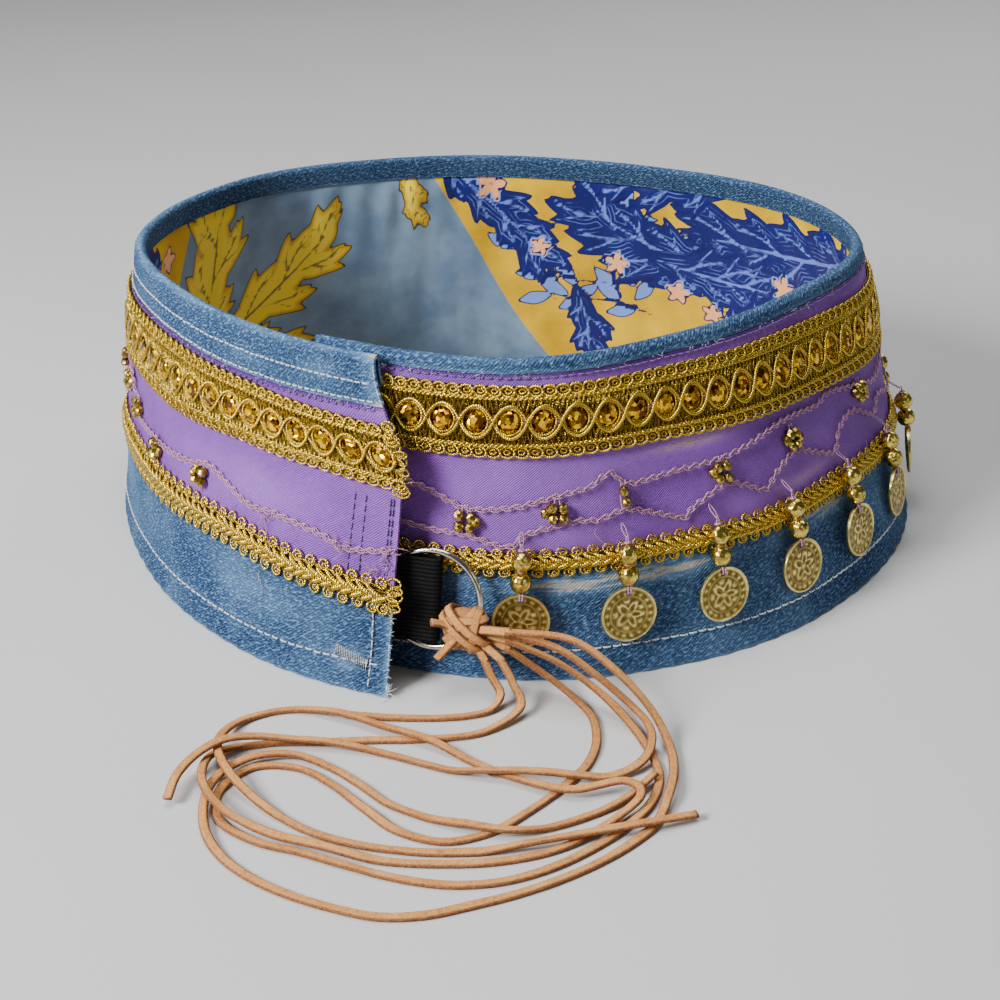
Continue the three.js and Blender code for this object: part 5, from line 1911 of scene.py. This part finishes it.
# ---- sewing and frays ----------------------------------------------------------------------------
@dataclass
class Sewing(Craft):
    """Top stitching, bar tacks, frayed ends and loose threads."""

    seed: int = SEED + 7
    pitch: float = 3.3
    long: float = 2.45
    thread: float = 0.27

    def row(self, line: Array) -> Shape:
        """Stitches along a flat line, each dipping into the cloth at its ends."""
        run = run_length(line)
        starts = np.arange(0.4, run[-1] - self.long, self.pitch)
        share = np.array([0.0, 0.12, 0.5, 0.88, 1.0])
        at = starts[:, None] + share * self.long + self.rng.normal(0, 0.08, (len(starts), 1))
        points = xyz(*(np.interp(at, run, line[:, k]) for k in range(3)))
        points[..., 2] += np.array([-0.25, 0.16, 0.26, 0.16, -0.25])
        points[..., 1] += self.rng.normal(0, 0.07, (len(starts), 1))
        return tubes(points, self.thread, sides=5)

    def level(self, first: float, last: float, height: Callable[[Array], Array], off: float) -> Array:
        """Flat line at a height that depends on the turn."""
        turn = np.linspace(first, last, 260)
        return xyz(BELT.arc(turn), height(turn), off)

    def upright(self, back: float, low: float, high: float, off: float, sway: float = 0.0) -> Array:
        """Flat line up the flap, at a distance back from its edge."""
        z = np.linspace(low, high, 24)
        return xyz(LENGTH - back + sway * np.sin(z / 9), z, off)

    def pale_rows(self) -> bpy.types.Object:
        """Pale stitching on the denim."""
        band = lambda t: BELT.seam(t, "band")
        rows = [
            self.level(-33.5, 343.5, lambda t: 10.6 + 0.3 * np.sin(t / 9), 0.32),
            self.level(232, 343.0, lambda t: band(t) + 7.2 + 0.2 * np.sin(t / 7), 0.1),
            self.level(95, 232, lambda t: band(t) + 1.5, 0.1),
            self.level(232, 343.0, lambda t: band(t) + 1.4, 0.1),
            self.upright(6.4, 2.5, 33.0, 0.35, 0.5),
        ]
        parts = [self.row(line) for line in rows]
        k = np.arange(38)
        tack = xyz(LENGTH - 18.5 + k * 0.31, 11.6 + 3.6 * (k % 2) - k * 0.09, 0.6)
        parts.append(tubes(tack[None], 0.26, sides=5))
        return self.piece("denim_stitches", parts, self.finishes.pale, Slot.DENIM)

    def violet_rows(self) -> bpy.types.Object:
        """Dark violet stitching on the panel by the flap's edge and under the braid."""
        rows = [self.upright(back, 40, 69, 0.12, 0.2) for back in (2.4, 3.5, 12.6, 16.8)]
        rows.append(self.level(-33.5, 343.5, lambda t: BELT.seam(t, "band") - 1.2, 0.1))
        parts = (self.row(line) for line in rows)
        return self.piece("panel_stitches", parts, self.finishes.violet, Slot.TWILL)

    def strands(self, feet: Array, aim: Array, long: Array, radius: float, curl: float) -> Shape:
        """Loose fibres that leave their feet along aim and bend at random."""
        n = len(feet)
        t = np.linspace(0, 1, 7)[None, :, None]
        bend = self.rng.normal(0, curl, (n, 1, 3))
        twist = self.rng.normal(0, curl * 0.7, (n, 1, 3))
        path = feet[:, None] + long[:, None, None] * (aim[:, None] * t + bend * t**2 + twist * t**3)
        path[..., 2] = np.maximum(path[..., 2], FIBRE_CLEAR)
        return tubes(path, radius * np.linspace(1, 0.6, 7)[None], sides=4)

    def gold_frays(self) -> bpy.types.Object:
        """Frayed cut ends of both braids, on the flap's edge and on the hidden end."""
        parts = []
        for turn, edge, sign in ((FLAP_END, LENGTH, 1.0), (UNDER_END, 0.0, -1.0)):
            at = np.array(turn)
            for low, high, count, long in (
                (BELT.seam(at, "braid_low"), BELT.seam(at, "braid_top"), 46, 3.2),
                (BELT.seam(at, "gimp_low"), BELT.seam(at, "gimp_top"), 26, 2.4),
            ):
                z = self.rng.uniform(low, high, count)
                feet = xyz(edge - sign * 0.8, z, self.rng.uniform(0.5, 1.7, count))
                aim = xyz(sign, self.rng.normal(0, 0.25, count), self.rng.normal(0.1, 0.2, count))
                parts.append(self.strands(feet, aim, self.rng.uniform(0.5, 1.0, count) * long, 0.2, 0.35))
        at = np.array(FLAP_END)
        for low, high, count in (("braid_low", "braid_top", 17), ("gimp_low", "gimp_top", 7)):
            for z in self.rng.uniform(BELT.seam(at, low) - 0.5, BELT.seam(at, high) + 0.5, count):
                loop = ellipse(12, self.rng.uniform(1.2, 2.6), self.rng.uniform(0.8, 1.7))
                loop[:, 2] += 0.5 * np.sin(np.arange(12) * np.pi / 6 + self.rng.uniform(0, 6))
                middle = np.array([LENGTH + self.rng.uniform(-0.6, 1.7), z, self.rng.uniform(0.9, 1.9)])
                parts.append(tubes((loop + middle)[None], 0.36, closed=True))
        return self.piece("braid_frays", parts, self.finishes.gold, Slot.BRAID)

    def denim_frays(self) -> bpy.types.Object:
        """Short cotton ends along the denim's cut edges and at the hem's corner."""
        parts = []
        for edge, sign in ((LENGTH, 1.0), (0.0, -1.0)):
            for low, high, count, long in ((1, 30, 70, 1.0), (95, 107, 40, 1.0), (0.8, 4, 16, 3.6)):
                z = self.rng.uniform(low, high, count)
                feet = xyz(edge - sign * 0.3, z, self.rng.uniform(-1.0, 0.1, count))
                aim = xyz(sign, self.rng.normal(0, 0.5, count), self.rng.normal(0.2, 0.4, count))
                parts.append(self.strands(feet, aim, self.rng.uniform(0.3, 1.0, count) * long, 0.11, 0.4))
        count = 260
        x = self.rng.uniform(2, LENGTH - 2, count)
        z = BELT.seam(BELT.turn_at(x), "band") + self.rng.uniform(-0.2, 0.4, count)
        aim = xyz(self.rng.normal(0, 0.8, count), self.rng.normal(-0.6, 0.5, count), 0.5)
        parts.append(self.strands(xyz(x, z, 0.1), aim, self.rng.uniform(0.4, 1.3, count), 0.09, 0.4))
        points = join(parts).moved(self.lay)
        points.points[:, 2] = np.maximum(points.points[:, 2], FLOOR_CLEAR)
        return Piece.make("denim_frays", points, self.finishes.pale, Slot.DENIM)

    def loose(self) -> bpy.types.Object:
        """Frayed chain ends where drops are missing, and long loose threads."""
        parts = []
        for turn, share in FRAYED:
            x, z = BELT.arc_at(turn), share * HEIGHT
            count = 11
            feet = xyz(x + self.rng.normal(0, 0.9, count), z + self.rng.normal(0, 0.9, count), 1.1)
            aim = xyz(self.rng.normal(0, 0.7, count), self.rng.normal(0, 0.7, count), 0.5)
            parts.append(self.strands(feet, aim, self.rng.uniform(1.4, 3.4, count), 0.14, 0.5))
        for turn, z, dx, dz in ((324, 30, 3, -7), (343, 36, 4, -4), (12, 47, -4, 6), (66, 43, 4, 6)):
            x = BELT.arc_at(turn)
            bend = np.array([[0, 0, 0.5], [0.4, 0.2, 1.6], [1, 0.7, 0.9], [0.7, 1, 1.5]])
            line = bend * [dx, dz, 1] + [x, z, 0]
            parts.append(tubes(evenly(spline(line, 6), 7)[None], 0.14, sides=4))
        return self.piece("loose_threads", parts, self.finishes.mauve, Slot.BRAID)

    def run(self) -> None:
        """Makes the sewing."""
        self.pale_rows()
        self.violet_rows()
        self.gold_frays()
        self.denim_frays()
        self.loose()


# ---- the studio ----------------------------------------------------------------------------------
class Studio:
    """Camera, floor and lights."""

    EYE = (0.00265, -0.6403, 0.3288)
    RIGHT = (0.99990245, 0.01396726, 0.0)
    FLOOR_HALF = 14.0
    UP = (-0.00639098, 0.4575242, 0.8891742)
    AHEAD = (-0.01241933, 0.88908746, -0.45756884)
    FOCAL_PIXELS = 1736.16
    IMAGE = 1000
    SENSOR = 36.0

    def camera(self) -> None:
        """Camera at the eye's place, in front and above."""
        data = bpy.data.cameras.new("view")
        data.sensor_width = self.SENSOR
        data.lens = self.FOCAL_PIXELS * self.SENSOR / self.IMAGE
        data.clip_start, data.clip_end = 0.01, 50
        obj = bpy.data.objects.new("view", data)
        columns = [self.RIGHT, self.UP, [-x for x in self.AHEAD], self.EYE]
        rows = [[columns[c][r] for c in range(4)] for r in range(3)] + [[0, 0, 0, 1]]
        obj.matrix_world = mathutils.Matrix(rows)
        bpy.context.scene.collection.objects.link(obj)
        bpy.context.scene.camera = obj

    def floor(self) -> None:
        """Plain pale floor."""
        g = Finish("Floor")
        shade = g.place().noise(3.0, 2.0).mix((0.5, 0.5, 0.5), (0.55, 0.55, 0.55))
        mesh = bpy.data.meshes.new("floor")
        h = self.FLOOR_HALF
        mesh.from_pydata([(-h, -h, 0), (h, -h, 0), (h, h, 0), (-h, h, 0)], [], [(0, 1, 2, 3)])
        mesh.materials.append(g.set(Base_Color=shade, Roughness=0.9))
        obj = bpy.data.objects.new("floor", mesh)
        bpy.context.scene.collection.objects.link(obj)
        obj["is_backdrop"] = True

    @staticmethod
    def light(name: str, at: Sequence[float], size: float, watts: float) -> None:
        """A square soft light turned to the belt."""
        data = bpy.data.lights.new(name, "AREA")
        data.size, data.energy = size, watts
        obj = bpy.data.objects.new(name, data)
        obj.location = at
        way = mathutils.Vector((0.0, -0.02, 0.05)) - mathutils.Vector(at)
        obj.rotation_euler = way.to_track_quat("-Z", "Y").to_euler()
        bpy.context.scene.collection.objects.link(obj)

    def lights(self) -> None:
        """Key from the upper left, a top light, and weaker fill from the right and behind."""
        self.light("key", (-1.0, -0.8, 0.85), 0.5, 42)
        self.light("top", (-0.15, 0.0, 1.3), 0.6, 12)
        self.light("fill", (1.1, -0.8, 0.6), 0.8, 2)
        self.light("rim", (0.6, 1.0, 0.8), 0.6, 5)
        world = bpy.data.worlds.new("studio")
        world.use_nodes = True
        world.node_tree.nodes["Background"].inputs["Color"].default_value = (0.85, 0.88, 0.92, 1)
        world.node_tree.nodes["Background"].inputs["Strength"].default_value = 0.085
        bpy.context.scene.world = world


def main() -> None:
    """Builds the scene."""
    logging.basicConfig(level=logging.INFO)
    studio = Studio()
    studio.camera()
    finishes = Finishes()
    for craft in (Laces, Closure, Cloth, Braid, Gimp, Net, Drops, Sewing):
        craft(finishes).run()
    studio.floor()
    studio.lights()
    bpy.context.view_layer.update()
    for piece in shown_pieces():
        LOG.info("%s: %d faces", piece.name, len(piece.data.polygons))


if __name__ == "__main__":
    main()
